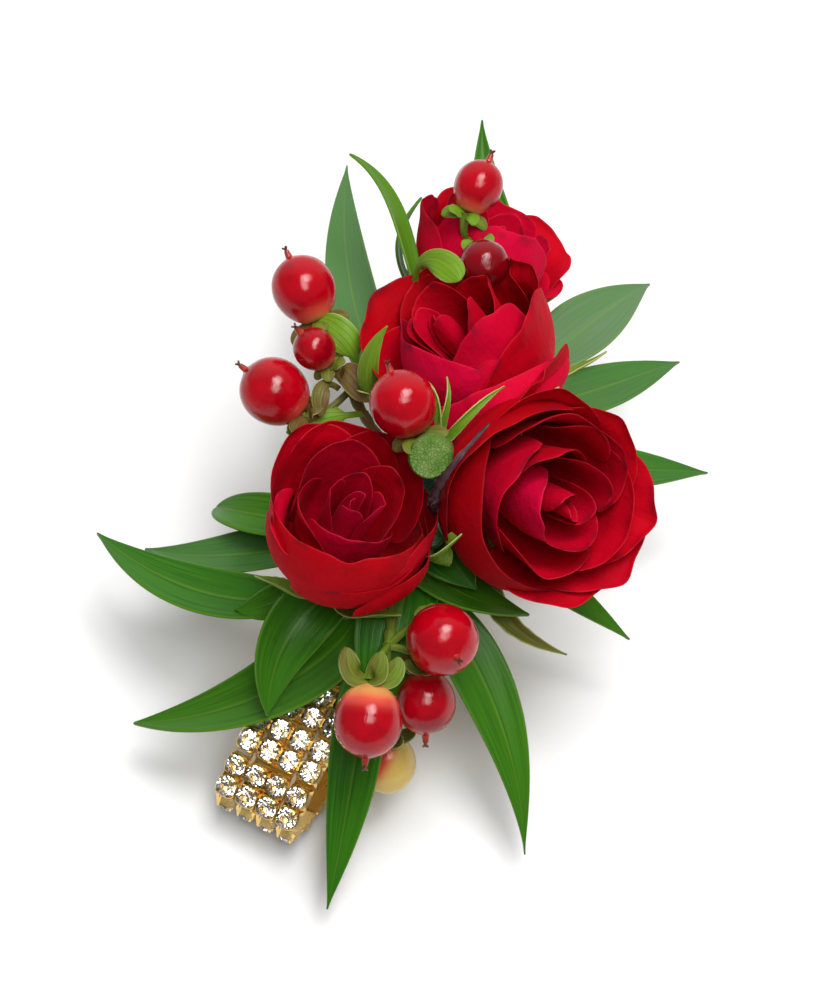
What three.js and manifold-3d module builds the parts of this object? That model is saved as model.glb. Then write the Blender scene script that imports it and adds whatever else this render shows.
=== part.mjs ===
// Wrist corsage: four red spray roses, hypericum berries and ruscus leaves held in a taped stem pad,
// which sits on the gold plate of a stretch bracelet made of crystal-set links.
// Millimetres, +Z up. The loop of the bracelet lies in the XZ plane and the wrist passes along Y.
import * as THREE from "three";
import { mergeVertices } from "three/addons/utils/BufferGeometryUtils.js";
import Module from "manifold-3d";

const wasm = await Module();
wasm.setup();

// Clearances
const SEAT_CLEARANCE = 0.3;
const PRESS_CLEARANCE = 0.4;
const LINK_GAP = 0.3;
const CORD_CLEARANCE = 0.3;
const MERGE_TOLERANCE = 1e-4;
const UPRIGHT_LIMIT = 0.98;

// Crystal links
const STONE_PITCH = 3.75;
const STONE_ROWS = 4;
const STONE_COLUMNS = 2;
const STONE_DIAMETER = 3.2;
const STONE_TABLE = 1.9;
const STONE_HEIGHT = 1.4;
const STONE_SINK = 0.2;
const STONE_SIDES = 6;
const SETTING_THICKNESS = 2.0;
const LINK_COUNT = 20;
const CORD_DIAMETER = 0.7;
const CORD_ANCHOR = 4.0;
const CORD_SIDES = 6;

// Loop of the bracelet, measured on the inner faces of the links
const WRIST_HEIGHT = 22.6;
const NEAR_BEND_SHARE = 0.52;
const LOOP_SAMPLES = 1500;
const SOLVE_STEPS = 30;

// Flower plate with its fold-up prongs
const PLATE_LENGTH = 30.0;
const PLATE_THICKNESS = 2.0;
const PRONG_WIDTH = 2.5;
const PRONG_THICKNESS = 0.8;
const PRONG_HEIGHT = 4.5;
const PRONG_SPACING = 20.0;

// Taped pad that gathers every stem
const PAD_LENGTH = 54.0;
const PAD_HEIGHT = 6.6;
const PAD_END_SHARE = 0.5;
const PAD_END_LIFT = 4.2;
const PAD_RINGS = 9;
const PAD_ARCH_POINTS = 9;
const SOCKET_DEPTH = 3.0;

// Roses: whorls from the outside in, with their sizes as shares of the bloom's
const ROSE_BASE_RADIUS = 3.0;
const WHORLS = [
  { petals: 5, radiusShare: 0.92, heightShare: 0.84, flareShare: 0.08, turn: 0 },
  { petals: 5, radiusShare: 0.72, heightShare: 0.95, flareShare: 0, turn: 0.6 },
  { petals: 3, radiusShare: 0.48, heightShare: 1, flareShare: 0, turn: 0.2 },
];
const HEART_RADIUS_SHARE = 0.22;
const HEART_HEIGHT_SHARE = 0.95;
const HEART_FOOT_SHARE = 0.2;
const HEART_SHOULDER_SHARE = 0.8;
const HEART_TIP_SHARE = 0.33;
const HEART_SIDES = 8;
const CUP_OUTSIDE = [0, 0.15, 0.6, 1];
const CUP_INSIDE = [1, 0.5];
const PETAL_WALL = 1.6;
const PETAL_DIP = 0.22;
const PETAL_OVERLAP = 0.06;
const PETAL_ROUNDNESS = 0.55;
const FLARE_POWER = 4;
const POINTS_PER_PETAL = 4;
const MIDDLE_SHARE = 0.55;
const ROOM_RISE = [0, 0.15, 0.5, 1];
const ROOM_SIDES = 16;
const ROSE_STEM_DIAMETER = 2.6;
const HIP_DIAMETER = 5.6;
const HIP_DROP = 1.9;
const HIP_HALF_LENGTH = 4.2;
const CALYX_STEPS = 8;
const CALYX_SIDES = 8;
const SEPAL_COUNT = 5;
const SEPAL_LENGTH = 8.0;
const SEPAL_TIP_DROP = 2.8;
const SEPAL_WIDTH = 2.6;
const SEPAL_THICKNESS = 0.7;
const SEPAL_STEPS = 4;

// Hypericum
const SPRIG_STEM_DIAMETER = 1.8;
const STALK_DIAMETER = 1.2;
const STALK_BEND = 2.4;
const BERRY_CUP_DIAMETER = 3.4;
const BERRY_CUP_POWER = 8;
const STYLE_LENGTH = 1.6;
const STYLE_DIAMETER = 0.8;
const STYLE_TIP_DIAMETER = 0.54;
const SPRIG_STEPS = 5;
const SPRIG_SIDES = 6;
const BERRY_SIDES = 8;
const BERRY_RISE = [0, 0.06, 0.22, 0.48, 0.74, 0.92, 1];

// Ruscus leaves
const PETIOLE_DIAMETER = 1.3;
const LEAF_THICKNESS = 0.8;
const LEAF_STEPS = 11;
const BLADE_START = 0.14;
const BLADE_RISE = 0.7;
const BLADE_TAPER = 1.15;
const BLADE_FLATTENING = 3;
const TIP_THINNING = 0.6;
const TIP_THINNING_POWER = 6;

// Every flower, sprig and leaf: where it leaves the pad (a share of the pad's half length along X, and
// degrees round the pad from the +Y flank), the first stretch of its stem, and where it ends. Lengths are
// in units of SPRAY_UNIT, from the point where the stem leaves the pad, or from the fork for a berry.
const SPRAY_UNIT = 1.0;
const ROSES = [
  {
    name: "rose_right", along: -0.037, clock: 165, lead: [0, -2, 2], centre: [-5, -15.12, 20.49],
    face: [-0.35, -0.64, 0.68], radius: 17.2, height: 24, spin: 0.3,
  },
  {
    name: "rose_front", along: -0.7037, clock: 62, lead: [-1, 0, 1], centre: [-7.7, -0.86, 17.44],
    face: [0.09, -0.24, 0.97], radius: 13.6, height: 23, spin: 0.9,
  },
  {
    name: "rose_middle", along: 0.2963, clock: 100, lead: [0.5, -1, 2], centre: [2.1, 0.06, 19.32],
    face: [-0.07, 0.54, 0.84], radius: 15.4, height: 23, spin: 0.1,
  },
  {
    name: "rose_far", along: 0.8148, clock: 50, lead: [2, 4, -1], centre: [11.1, 7.55, 7.53],
    face: [0.58, -0.19, 0.79], radius: 13.0, height: 20, spin: 0.6,
  },
];

const SPRIGS = [
  {
    name: "hypericum_stem_left", along: -0.1111, clock: 45, lead: [-1, 4, 4], fork: [3, 11.5, 9.51],
    berries: [
      { name: "berry_left_top", centre: [8.6, 13.5, 7.5], length: 11.4, width: 10.2 },
      { name: "berry_left_small", centre: [0.3, 6.6, 6.5], length: 7.2, width: 6.8 },
      { name: "berry_left_low", centre: [-7.1, 9.7, 1.5], length: 11.6, width: 10.8 },
      { name: "berry_centre", centre: [-7.6, -4.5, 33.01], length: 10.6, width: 10.2, fromPad: true },
    ],
  },
  {
    name: "hypericum_stem_far", along: 0.5556, clock: 80, lead: [3, 1, 6], fork: [14.5, 10.56, 16.41],
    berries: [
      { name: "berry_far_top", centre: [5.5, 1.1, 6.5], length: 9, width: 7.8 },
      { name: "berry_far_low", centre: [-7.1, -7.1, 7], length: 8, width: 7.8 },
    ],
  },
  {
    name: "hypericum_stem_front", along: -0.7778, clock: 150, lead: [-3, -3, 1], fork: [-12.5, -6.63, 1.86],
    berries: [
      { name: "berry_front_right", centre: [2, -8.4, 7], length: 11.4, width: 11.2 },
      { name: "berry_front_left", centre: [-13, -4, 1], length: 11.8, width: 10.6 },
      { name: "berry_front_middle", centre: [-3.8, -8.9, -4], length: 10.2, width: 9.4 },
      { name: "berry_front_pale", centre: [-8.2, -6, -21], length: 10.4, width: 9.2 },
    ],
  },
];

const LEAVES = [
  { name: "leaf_left_long", along: -0.8148, clock: 18, lead: [-6, 6, -2], tip: [-8.9, 42.83, -16.45],
    width: 9.5, arch: 3, sway: 6, roll: 12 },
  { name: "leaf_left_back", along: -0.5926, clock: 14, lead: [-6, 9, -3.2], tip: [-13.5, 33.28, -15.09],
    width: 9, arch: 2, sway: -3, roll: 8 },
  { name: "leaf_left_round", along: -0.4741, clock: 24, lead: [-8, 10, -1], tip: [-7, 25.11, -9.63],
    width: 9, arch: 4, sway: 1, roll: 0 },
  { name: "leaf_front_short", along: -0.8519, clock: 78, lead: [-7, -1, 1], tip: [-26.3, 1.55, -10.46],
    width: 11.5, arch: 4, sway: 0.5, roll: -10 },
  { name: "leaf_front_left", along: -0.9444, clock: 130, lead: [-6, -5, -4], tip: [-29.7, 27.18, -24.85],
    width: 11.5, arch: 2.2, sway: 7, roll: 15 },
  { name: "leaf_front_down", along: -0.9074, clock: 172, lead: [-7.8, -3.2, -2.8], tip: [-41.6, -14.27, -26.3],
    width: 8.5, arch: 5, sway: 1.5, roll: 0 },
  { name: "leaf_front_right", along: -0.6296, clock: 168, lead: [-3, -8, -2], tip: [-25.2, -35.58, -25.07],
    width: 9, arch: 4, sway: 6, roll: 0 },
  { name: "leaf_under_roses", along: -0.5, clock: 150, lead: [-6, -2, 2], tip: [-4.2, -22.05, 2.76],
    width: 8, arch: 2, sway: -3, roll: -20 },
  { name: "leaf_right_low", along: -0.1852, clock: 162, lead: [-1, -6, -1], tip: [2.5, -32.02, -18.45],
    width: 6.5, arch: 3, sway: 0, roll: 0 },
  { name: "leaf_right_middle", along: 0.1667, clock: 162, lead: [3, -5, -1], tip: [24.2, -29.7, -12.43],
    width: 8.5, arch: 3, sway: -1, roll: 10 },
  { name: "leaf_right_upper", along: 0.537, clock: 164, lead: [4, -4, -1], tip: [28.8, -17.14, -9.07],
    width: 8.5, arch: 3, sway: -1, roll: 10 },
  { name: "leaf_right_top", along: 0.7407, clock: 160, lead: [4, -2, 1], tip: [32.2, -7.34, -6.24],
    width: 11, arch: 3, sway: 1.5, roll: 5 },
  { name: "leaf_far_tip", along: 0.9444, clock: 120, lead: [8, 3, -9], tip: [37.9, 29.07, -2.21],
    width: 8.5, arch: -6, sway: 4, roll: 0 },
  { name: "leaf_far_left", along: 0.1481, clock: 18, lead: [6, 16, 1], tip: [42.6, 38.38, -2.41],
    width: 8.5, arch: 3, sway: 2, roll: 0 },
  { name: "leaf_far_curled", along: 0.4815, clock: 45, lead: [4, 13.2, 12], tip: [22.3, 32.9, 16.6],
    width: 4, arch: 4, sway: -9, roll: 60 },
];

// Values that follow from the driving dimensions
const bandWidth = STONE_ROWS * STONE_PITCH;
const linkLength = STONE_COLUMNS * STONE_PITCH;
const linkPitch = linkLength + LINK_GAP;
const nearBendRadius = NEAR_BEND_SHARE * linkPitch;
const cordOffset = STONE_PITCH;
const cordHeight = SETTING_THICKNESS / 2;
const cordChannel = CORD_DIAMETER + 2 * CORD_CLEARANCE;
const plateEnd = PLATE_LENGTH / 2;
const plateUnderside = -PLATE_THICKNESS;
const padHalfWidth = bandWidth / 2 - PRONG_THICKNESS - SEAT_CLEARANCE;

const gold = () => material(0xc9a24a, 0.28, 1);
const elastic = () => material(0xe9e4d6, 0.6, 0);
const floralTape = () => material(0x2f6f66, 0.8, 0);
const petalRed = () => material(0xa80f22, 0.65, 0);
const calyxGreen = () => material(0x5b7a33, 0.6, 0);
const berryRed = () => material(0xa3121f, 0.2, 0);
const leafGreen = () => material(0x1f5a26, 0.4, 0);

function material(color, roughness, metalness) {
  return new THREE.MeshStandardMaterial({ color, roughness, metalness });
}

// A length from the tables, and a stretch of such lengths.
function measure(length) {
  return length * SPRAY_UNIT;
}

function stretch([x, y, z]) {
  return new THREE.Vector3(x, y, z).multiplyScalar(SPRAY_UNIT);
}

// Solids and meshes
function solid(geometry) {
  const bare = geometry.clone();
  bare.deleteAttribute("normal");
  bare.deleteAttribute("uv");
  const merged = mergeVertices(bare, MERGE_TOLERANCE);
  return new wasm.Manifold(new wasm.Mesh({
    numProp: 3,
    vertProperties: new Float32Array(merged.attributes.position.array),
    triVerts: new Uint32Array(merged.index.array),
  }));
}

// The largest body of a solid, so that slivers left by a cut are dropped.
function largestBody(body) {
  return body.decompose().sort((a, b) => b.volume() - a.volume())[0];
}

function mesh(name, body, look) {
  const { vertProperties, triVerts } = body.getMesh();
  const geometry = new THREE.BufferGeometry();
  geometry.setAttribute("position", new THREE.BufferAttribute(new Float32Array(vertProperties), 3));
  geometry.setIndex(new THREE.BufferAttribute(new Uint32Array(triVerts), 1));
  geometry.computeVertexNormals();
  const piece = new THREE.Mesh(geometry, look);
  piece.name = name;
  return piece;
}

function union(bodies) {
  return bodies.reduce((whole, body) => whole.add(body));
}

// Closed body through rings of points that run counterclockwise about the direction of travel.
function loft(rings) {
  const sides = rings[0].length;
  const triangles = [];
  for (let ring = 0; ring < rings.length - 1; ring += 1) {
    for (let k = 0; k < sides; k += 1) {
      const a = ring * sides + k;
      const b = ring * sides + ((k + 1) % sides);
      triangles.push(a, b, b + sides, a, b + sides, a + sides);
    }
  }
  const last = (rings.length - 1) * sides;
  for (let k = 1; k < sides - 1; k += 1) {
    triangles.push(0, k + 1, k, last, last + k, last + k + 1);
  }
  const geometry = new THREE.BufferGeometry().setFromPoints(rings.flat());
  geometry.setIndex(triangles);
  return solid(geometry);
}

// Side and top directions of a section that travels along a tangent, rolled about it.
function sectionFrame(tangent, rollDegrees = 0) {
  const isUpright = Math.abs(tangent.z) > UPRIGHT_LIMIT;
  const reference = isUpright ? new THREE.Vector3(1, 0, 0) : new THREE.Vector3(0, 0, 1);
  const side = reference.cross(tangent).normalize();
  const top = tangent.clone().cross(side);
  const roll = THREE.MathUtils.degToRad(rollDegrees);
  side.applyAxisAngle(tangent, roll);
  top.applyAxisAngle(tangent, roll);
  return { side, top };
}

function roundRing(centre, frame, radius, sides) {
  return Array.from({ length: sides }, (_, k) => {
    const turn = (2 * Math.PI * k) / sides;
    return centre.clone()
      .addScaledVector(frame.side, radius * Math.cos(turn))
      .addScaledVector(frame.top, radius * Math.sin(turn));
  });
}

// Round stem along a curve, with its radius given along the way; grow widens and lengthens it for a cut.
function stem(curve, radiusAt, steps, sides, grow = 0) {
  const rings = [];
  for (let step = 0; step <= steps; step += 1) {
    const share = step / steps;
    const tangent = curve.getTangentAt(share);
    const centre = curve.getPointAt(share);
    if (step === 0) centre.addScaledVector(tangent, -grow);
    if (step === steps) centre.addScaledVector(tangent, grow);
    rings.push(roundRing(centre, sectionFrame(tangent), radiusAt(share) + grow, sides));
  }
  return loft(rings);
}

// Pad: a low loaf, flat underneath, that tapers towards both ends.
function padSection(along) {
  const reach = Math.min(1, Math.abs(along) / (PAD_LENGTH / 2));
  const share = 1 - (1 - PAD_END_SHARE) * reach ** 2;
  const bottom = SEAT_CLEARANCE + PAD_END_LIFT * reach ** 2;
  return { halfWidth: padHalfWidth * share, height: PAD_HEIGHT * share, bottom };
}

function padBody() {
  const rings = [];
  for (let ring = 0; ring < PAD_RINGS; ring += 1) {
    const along = (ring / (PAD_RINGS - 1) - 0.5) * PAD_LENGTH;
    const { halfWidth, height, bottom } = padSection(along);
    rings.push(Array.from({ length: PAD_ARCH_POINTS }, (_, k) => {
      const turn = (Math.PI * k) / (PAD_ARCH_POINTS - 1);
      return new THREE.Vector3(along, halfWidth * Math.cos(turn), bottom + height * Math.sin(turn));
    }));
  }
  return loft(rings);
}

// Where a stem is set in the pad: its foot inside, the point where it comes out, and the way it points.
function padSocket({ along, clock }) {
  const x = (along * PAD_LENGTH) / 2;
  const { halfWidth, height, bottom } = padSection(x);
  const turn = THREE.MathUtils.degToRad(clock);
  const out = new THREE.Vector3(0, Math.cos(turn), Math.sin(turn));
  const surface = new THREE.Vector3(x, halfWidth * out.y, bottom + height * out.z);
  const foot = surface.clone().addScaledVector(out, -SOCKET_DEPTH);
  return { foot, surface };
}

// Bracelet loop on the inner faces, seen along Y: round far end, flat bottom, tight near end and slope.
function loopPath(bottomLength) {
  const bottom = plateUnderside - WRIST_HEIGHT;
  const farRadius = WRIST_HEIGHT / 2;
  const slopeTop = new THREE.Vector2(-plateEnd, plateUnderside);
  const nearCentre = new THREE.Vector2(plateEnd - bottomLength, bottom + nearBendRadius);
  const toSlope = slopeTop.clone().sub(nearCentre);
  const slopeAngle = toSlope.angle() + Math.acos(nearBendRadius / toSlope.length());
  const path = new THREE.Path();
  path.moveTo(plateEnd, plateUnderside);
  path.absarc(plateEnd, bottom + farRadius, farRadius, Math.PI / 2, -Math.PI / 2, true);
  path.lineTo(nearCentre.x, bottom);
  path.absarc(nearCentre.x, nearCentre.y, nearBendRadius, -Math.PI / 2, slopeAngle, true);
  path.lineTo(slopeTop.x, slopeTop.y);
  return path;
}

// Joints between links, stepped along the loop one link pitch at a time.
function walkLoop(bottomLength) {
  const samples = loopPath(bottomLength).getSpacedPoints(LOOP_SAMPLES);
  const joints = [samples[0]];
  for (const point of samples) {
    const last = joints[joints.length - 1];
    if (point.distanceTo(last) >= linkPitch) {
      joints.push(point.clone().sub(last).setLength(linkPitch).add(last));
    }
  }
  const leftOver = samples[LOOP_SAMPLES].distanceTo(joints[joints.length - 1]);
  return { joints, length: (joints.length - 1) * linkPitch + leftOver };
}

// The bottom is as long as it takes for a whole number of links to close the loop.
function closeLoop() {
  let short = linkPitch;
  let long = LINK_COUNT * linkPitch;
  for (let step = 0; step < SOLVE_STEPS; step += 1) {
    const middle = (short + long) / 2;
    if (walkLoop(middle).length < LINK_COUNT * linkPitch) short = middle;
    else long = middle;
  }
  const { joints } = walkLoop(short);
  const last = new THREE.Vector2(-plateEnd, plateUnderside);
  return [...joints.slice(0, LINK_COUNT), last];
}

function linkBody() {
  let bar = box(linkLength, bandWidth, SETTING_THICKNESS, 0, 0, SETTING_THICKNESS / 2);
  for (const side of [-1, 1]) {
    bar = bar.subtract(box(linkLength * 2, cordChannel, cordChannel, 0, side * cordOffset, cordHeight));
  }
  const stones = [];
  for (let column = 0; column < STONE_COLUMNS; column += 1) {
    for (let row = 0; row < STONE_ROWS; row += 1) {
      const stone = new THREE.CylinderGeometry(
        STONE_TABLE / 2, STONE_DIAMETER / 2, STONE_HEIGHT + STONE_SINK, STONE_SIDES,
      );
      stone.rotateX(Math.PI / 2);
      stone.translate(
        (column - (STONE_COLUMNS - 1) / 2) * STONE_PITCH,
        (row - (STONE_ROWS - 1) / 2) * STONE_PITCH,
        SETTING_THICKNESS + (STONE_HEIGHT - STONE_SINK) / 2,
      );
      stones.push(solid(stone));
    }
  }
  return union([bar, ...stones]);
}

// Each link sits on the chord between two joints, with its stones on the outside of the loop.
function bandLinks(joints) {
  return joints.slice(0, LINK_COUNT).map((start, index) => {
    const end = joints[index + 1];
    const link = mesh(`band_link_${String(index + 1).padStart(2, "0")}`, linkBody(), gold());
    link.position.set((start.x + end.x) / 2, 0, (start.y + end.y) / 2);
    link.rotation.y = -Math.atan2(end.y - start.y, end.x - start.x);
    return link;
  });
}

// Elastic cord through one row of channels, with both ends anchored inside the plate.
function elasticCord(name, side, joints) {
  const y = side * cordOffset;
  const anchorZ = plateUnderside + cordHeight;
  const points = joints.map((joint, index) => {
    const before = joints[Math.max(0, index - 1)];
    const after = joints[Math.min(LINK_COUNT, index + 1)];
    const along = after.clone().sub(joint).normalize().add(joint.clone().sub(before).normalize());
    const outward = new THREE.Vector2(-along.y, along.x).setLength(cordHeight);
    return new THREE.Vector3(joint.x + outward.x, y, joint.y + outward.y);
  });
  const inside = plateEnd - CORD_ANCHOR + CORD_CLEARANCE;
  points[0].set(plateEnd, y, anchorZ);
  points[LINK_COUNT].set(-plateEnd, y, anchorZ);
  points.unshift(new THREE.Vector3(inside, y, anchorZ));
  points.push(new THREE.Vector3(-inside, y, anchorZ));
  const rings = points.map((point, index) => {
    const before = points[Math.max(0, index - 1)];
    const after = points[Math.min(points.length - 1, index + 1)];
    const tangent = after.clone().sub(before).normalize();
    const top = new THREE.Vector3(0, 1, 0);
    const side = top.clone().cross(tangent);
    return roundRing(point, { side, top }, CORD_DIAMETER / 2, CORD_SIDES);
  });
  return mesh(name, loft(rings), elastic());
}

function box(length, width, height, x, y, z) {
  return solid(new THREE.BoxGeometry(length, width, height).translate(x, y, z));
}

function flowerPlate() {
  const blank = box(
    PLATE_LENGTH - LINK_GAP, bandWidth, PLATE_THICKNESS, 0, 0, plateUnderside + PLATE_THICKNESS / 2,
  );
  let plate = blank;
  for (const end of [-1, 1]) {
    for (const side of [-1, 1]) {
      const prongY = side * (bandWidth - PRONG_THICKNESS) / 2;
      const prongHeight = PRONG_HEIGHT + PLATE_THICKNESS;
      plate = plate.add(box(
        PRONG_WIDTH, PRONG_THICKNESS, prongHeight,
        (end * PRONG_SPACING) / 2, prongY, PRONG_HEIGHT - prongHeight / 2,
      ));
      plate = plate.subtract(box(
        2 * CORD_ANCHOR, cordChannel, cordChannel,
        end * plateEnd, side * cordOffset, plateUnderside + cordHeight,
      ));
    }
  }
  return mesh("flower_plate", plate, gold());
}

// One ring of petals: a scalloped cup whose rim dips between the petals.
function petalWhorl({ radius, height, petals, flare, spin }) {
  const around = petals * POINTS_PER_PETAL;
  const ring = (rise, inset) => Array.from({ length: around }, (_, k) => {
    const turn = (2 * Math.PI * k) / around + spin;
    const share = (k % POINTS_PER_PETAL) / POINTS_PER_PETAL;
    const crest = Math.sin(Math.PI * share);
    const lapped = 1 + PETAL_OVERLAP * (share - 0.5);
    const reach = petalReach(radius, rise) * lapped + flare * rise ** FLARE_POWER - inset;
    const lift = height * rise * (1 - PETAL_DIP * (1 - crest) * rise);
    return new THREE.Vector3(reach * Math.cos(turn), reach * Math.sin(turn), lift);
  });
  return loft([
    ...CUP_OUTSIDE.map((rise) => ring(rise, 0)),
    ...CUP_INSIDE.map((rise) => ring(rise, PETAL_WALL)),
  ]);
}

// Radius of a cup of petals at a share of its height.
function petalReach(radius, rise) {
  const opening = Math.sin((Math.PI / 2) * rise ** PETAL_ROUNDNESS);
  return ROSE_BASE_RADIUS + (radius - ROSE_BASE_RADIUS) * opening;
}

// Round sections on the upright axis of a bloom or a berry.
function uprightRing(z, radius, sides) {
  const frame = { side: new THREE.Vector3(1, 0, 0), top: new THREE.Vector3(0, 1, 0) };
  return roundRing(new THREE.Vector3(0, 0, z), frame, radius, sides);
}

// Rose bloom standing on its base, facing +Z: whorls of petals round a tight heart.
function bloomBody(rose) {
  const radius = measure(rose.radius);
  const height = measure(rose.height);
  const heartRadius = radius * HEART_RADIUS_SHARE;
  const heartHeight = height * HEART_HEIGHT_SHARE;
  const heart = loft([
    uprightRing(heartHeight * HEART_FOOT_SHARE, heartRadius, HEART_SIDES),
    uprightRing(heartHeight * HEART_SHOULDER_SHARE, heartRadius, HEART_SIDES),
    uprightRing(heartHeight, heartRadius * HEART_TIP_SHARE, HEART_SIDES),
  ]);
  const whorls = WHORLS.map((whorl) => petalWhorl({
    radius: radius * whorl.radiusShare,
    height: height * whorl.heightShare,
    petals: whorl.petals,
    flare: radius * whorl.flareShare,
    spin: rose.spin + whorl.turn,
  }));
  return union([...whorls, heart]);
}

// Smooth outer shape of a bloom with room round it, which presses neighbouring petals aside.
function bloomRoom(rose) {
  const radius = measure(rose.radius);
  const height = measure(rose.height);
  return loft(ROOM_RISE.map((rise) => uprightRing(
    height * rise + (2 * rise - 1) * PRESS_CLEARANCE,
    petalReach(radius, rise) * (1 + PETAL_OVERLAP / 2) + PRESS_CLEARANCE,
    ROOM_SIDES,
  )));
}

// Place of a bloom: its base is behind its middle, on the side away from where it faces.
function bloomPlace(rose) {
  const axis = new THREE.Vector3(...rose.face).normalize();
  const centre = padSocket(rose).surface.add(stretch(rose.centre));
  const base = centre.addScaledVector(axis, -MIDDLE_SHARE * measure(rose.height));
  const turn = new THREE.Quaternion().setFromUnitVectors(new THREE.Vector3(0, 0, 1), axis);
  return { axis, base, matrix: new THREE.Matrix4().compose(base, turn, new THREE.Vector3(1, 1, 1)) };
}

// Rose stem with its hip and five sepals under the bloom.
function calyxCurve(rose) {
  const { foot, surface } = padSocket(rose);
  const { axis, base } = bloomPlace(rose);
  const end = base.clone().addScaledVector(axis, -SEAT_CLEARANCE);
  const under = end.clone().addScaledVector(axis, -HIP_DIAMETER);
  return new THREE.CubicBezierCurve3(foot, surface.add(stretch(rose.lead)), under, end);
}

function calyxRadius(curve) {
  const length = curve.getLength();
  return (share) => {
    const toEnd = (1 - share) * length;
    const swell = Math.max(0, 1 - Math.abs(toEnd - HIP_DROP) / HIP_HALF_LENGTH);
    return ROSE_STEM_DIAMETER / 2 + ((HIP_DIAMETER - ROSE_STEM_DIAMETER) / 2) * Math.sqrt(swell);
  };
}

function calyxBody(rose, grow = 0) {
  const curve = calyxCurve(rose);
  return stem(curve, calyxRadius(curve), CALYX_STEPS, CALYX_SIDES, grow);
}

function sepals(rose) {
  const { matrix } = bloomPlace(rose);
  return Array.from({ length: SEPAL_COUNT }, (_, k) => {
    const turn = (2 * Math.PI * k) / SEPAL_COUNT + rose.spin;
    const out = new THREE.Vector3(Math.cos(turn), Math.sin(turn), 0);
    const root = new THREE.Vector3(0, 0, -HIP_DROP);
    const tip = out.clone().multiplyScalar(SEPAL_LENGTH).setZ(-SEPAL_TIP_DROP);
    const curve = new THREE.LineCurve3(root.applyMatrix4(matrix), tip.applyMatrix4(matrix));
    return blade(curve, SEPAL_WIDTH, SEPAL_THICKNESS, SEPAL_THICKNESS, 0, SEPAL_STEPS, 0);
  });
}

// Flat blade with a stalk: a four-sided section that is round on the stalk, then wide and thin.
function blade(curve, width, thickness, stalk, start, steps, roll, grow = 0) {
  const widest = BLADE_RISE / (BLADE_RISE + BLADE_TAPER);
  const rings = [];
  for (let step = 0; step <= steps; step += 1) {
    const share = step / steps;
    const tangent = curve.getTangentAt(share);
    const centre = curve.getPointAt(share);
    if (step === 0) centre.addScaledVector(tangent, -grow);
    const { side, top } = sectionFrame(tangent, roll);
    const onBlade = Math.max(0, (share - start) / (1 - start));
    const swell = (onBlade / widest) ** BLADE_RISE * ((1 - onBlade) / (1 - widest)) ** BLADE_TAPER;
    const halfWidth = Math.max((stalk / 2) * (1 - onBlade), (width / 2) * swell, thickness / 4) + grow;
    const halfThick = THREE.MathUtils.lerp(stalk, thickness, Math.min(1, BLADE_FLATTENING * onBlade)) / 2;
    const halfDepth = halfThick * (1 - TIP_THINNING * onBlade ** TIP_THINNING_POWER) + grow;
    rings.push([
      centre.clone().addScaledVector(side, halfWidth),
      centre.clone().addScaledVector(top, halfDepth),
      centre.clone().addScaledVector(side, -halfWidth),
      centre.clone().addScaledVector(top, -halfDepth),
    ]);
  }
  return loft(rings);
}

function leafCurve(leaf) {
  const { foot, surface } = padSocket(leaf);
  const tip = surface.clone().add(stretch(leaf.tip));
  const first = surface.clone().add(stretch(leaf.lead));
  const run = tip.clone().sub(first);
  const across = new THREE.Vector3(-run.y, run.x, 0).normalize();
  const second = first.clone().addScaledVector(run, 0.5)
    .addScaledVector(across, measure(leaf.sway))
    .add(new THREE.Vector3(0, 0, measure(leaf.arch)));
  return new THREE.CubicBezierCurve3(foot, first, second, tip);
}

function leafBody(leaf, grow = 0) {
  const width = measure(leaf.width);
  return blade(
    leafCurve(leaf), width, LEAF_THICKNESS, PETIOLE_DIAMETER, BLADE_START, LEAF_STEPS, leaf.roll, grow,
  );
}

// Berry standing on its base along +Z, with the dry style at its tip.
function berryBody(berry, grow = 0) {
  const length = measure(berry.length);
  const width = measure(berry.width);
  const rings = BERRY_RISE.map((rise) => {
    const swell = Math.sqrt(Math.max(0, 1 - (2 * rise - 1) ** 2));
    const radius = Math.max(STYLE_DIAMETER / 2, (width / 2) * swell);
    return uprightRing(length * rise + (2 * rise - 1) * grow, radius + grow, BERRY_SIDES);
  });
  rings.push(uprightRing(length + STYLE_LENGTH + grow, STYLE_TIP_DIAMETER / 2 + grow, BERRY_SIDES));
  return loft(rings);
}

function forkPoint(sprig) {
  return padSocket(sprig).surface.add(stretch(sprig.fork));
}

function berryPlace(sprig, berry) {
  const from = berry.fromPad ? padSocket(sprig).surface : forkPoint(sprig);
  const reach = stretch(berry.centre);
  const axis = reach.clone().normalize();
  const base = from.add(reach).addScaledVector(axis, -measure(berry.length) / 2);
  const turn = new THREE.Quaternion().setFromUnitVectors(new THREE.Vector3(0, 0, 1), axis);
  return { axis, base, turn };
}

// Sprig: a stem out of the pad to the fork, and a stalk with a small cup to each berry.
function sprigBody(sprig, grow = 0) {
  const { foot, surface } = padSocket(sprig);
  const fork = forkPoint(sprig);
  const lead = surface.clone().add(stretch(sprig.lead));
  const main = new THREE.QuadraticBezierCurve3(foot, lead, fork);
  const parts = [stem(main, () => SPRIG_STEM_DIAMETER / 2, SPRIG_STEPS, SPRIG_SIDES, grow)];
  for (const berry of sprig.berries) {
    const { axis, base } = berryPlace(sprig, berry);
    const end = base.clone().addScaledVector(axis, -SEAT_CLEARANCE);
    const bend = end.clone().addScaledVector(axis, -STALK_BEND);
    const curve = new THREE.QuadraticBezierCurve3(berry.fromPad ? foot : fork, bend, end);
    const cupFlare = (BERRY_CUP_DIAMETER - STALK_DIAMETER) / 2;
    const cup = (share) => STALK_DIAMETER / 2 + cupFlare * share ** BERRY_CUP_POWER;
    parts.push(stem(curve, cup, SPRIG_STEPS, SPRIG_SIDES, grow));
  }
  return union(parts);
}

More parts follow.
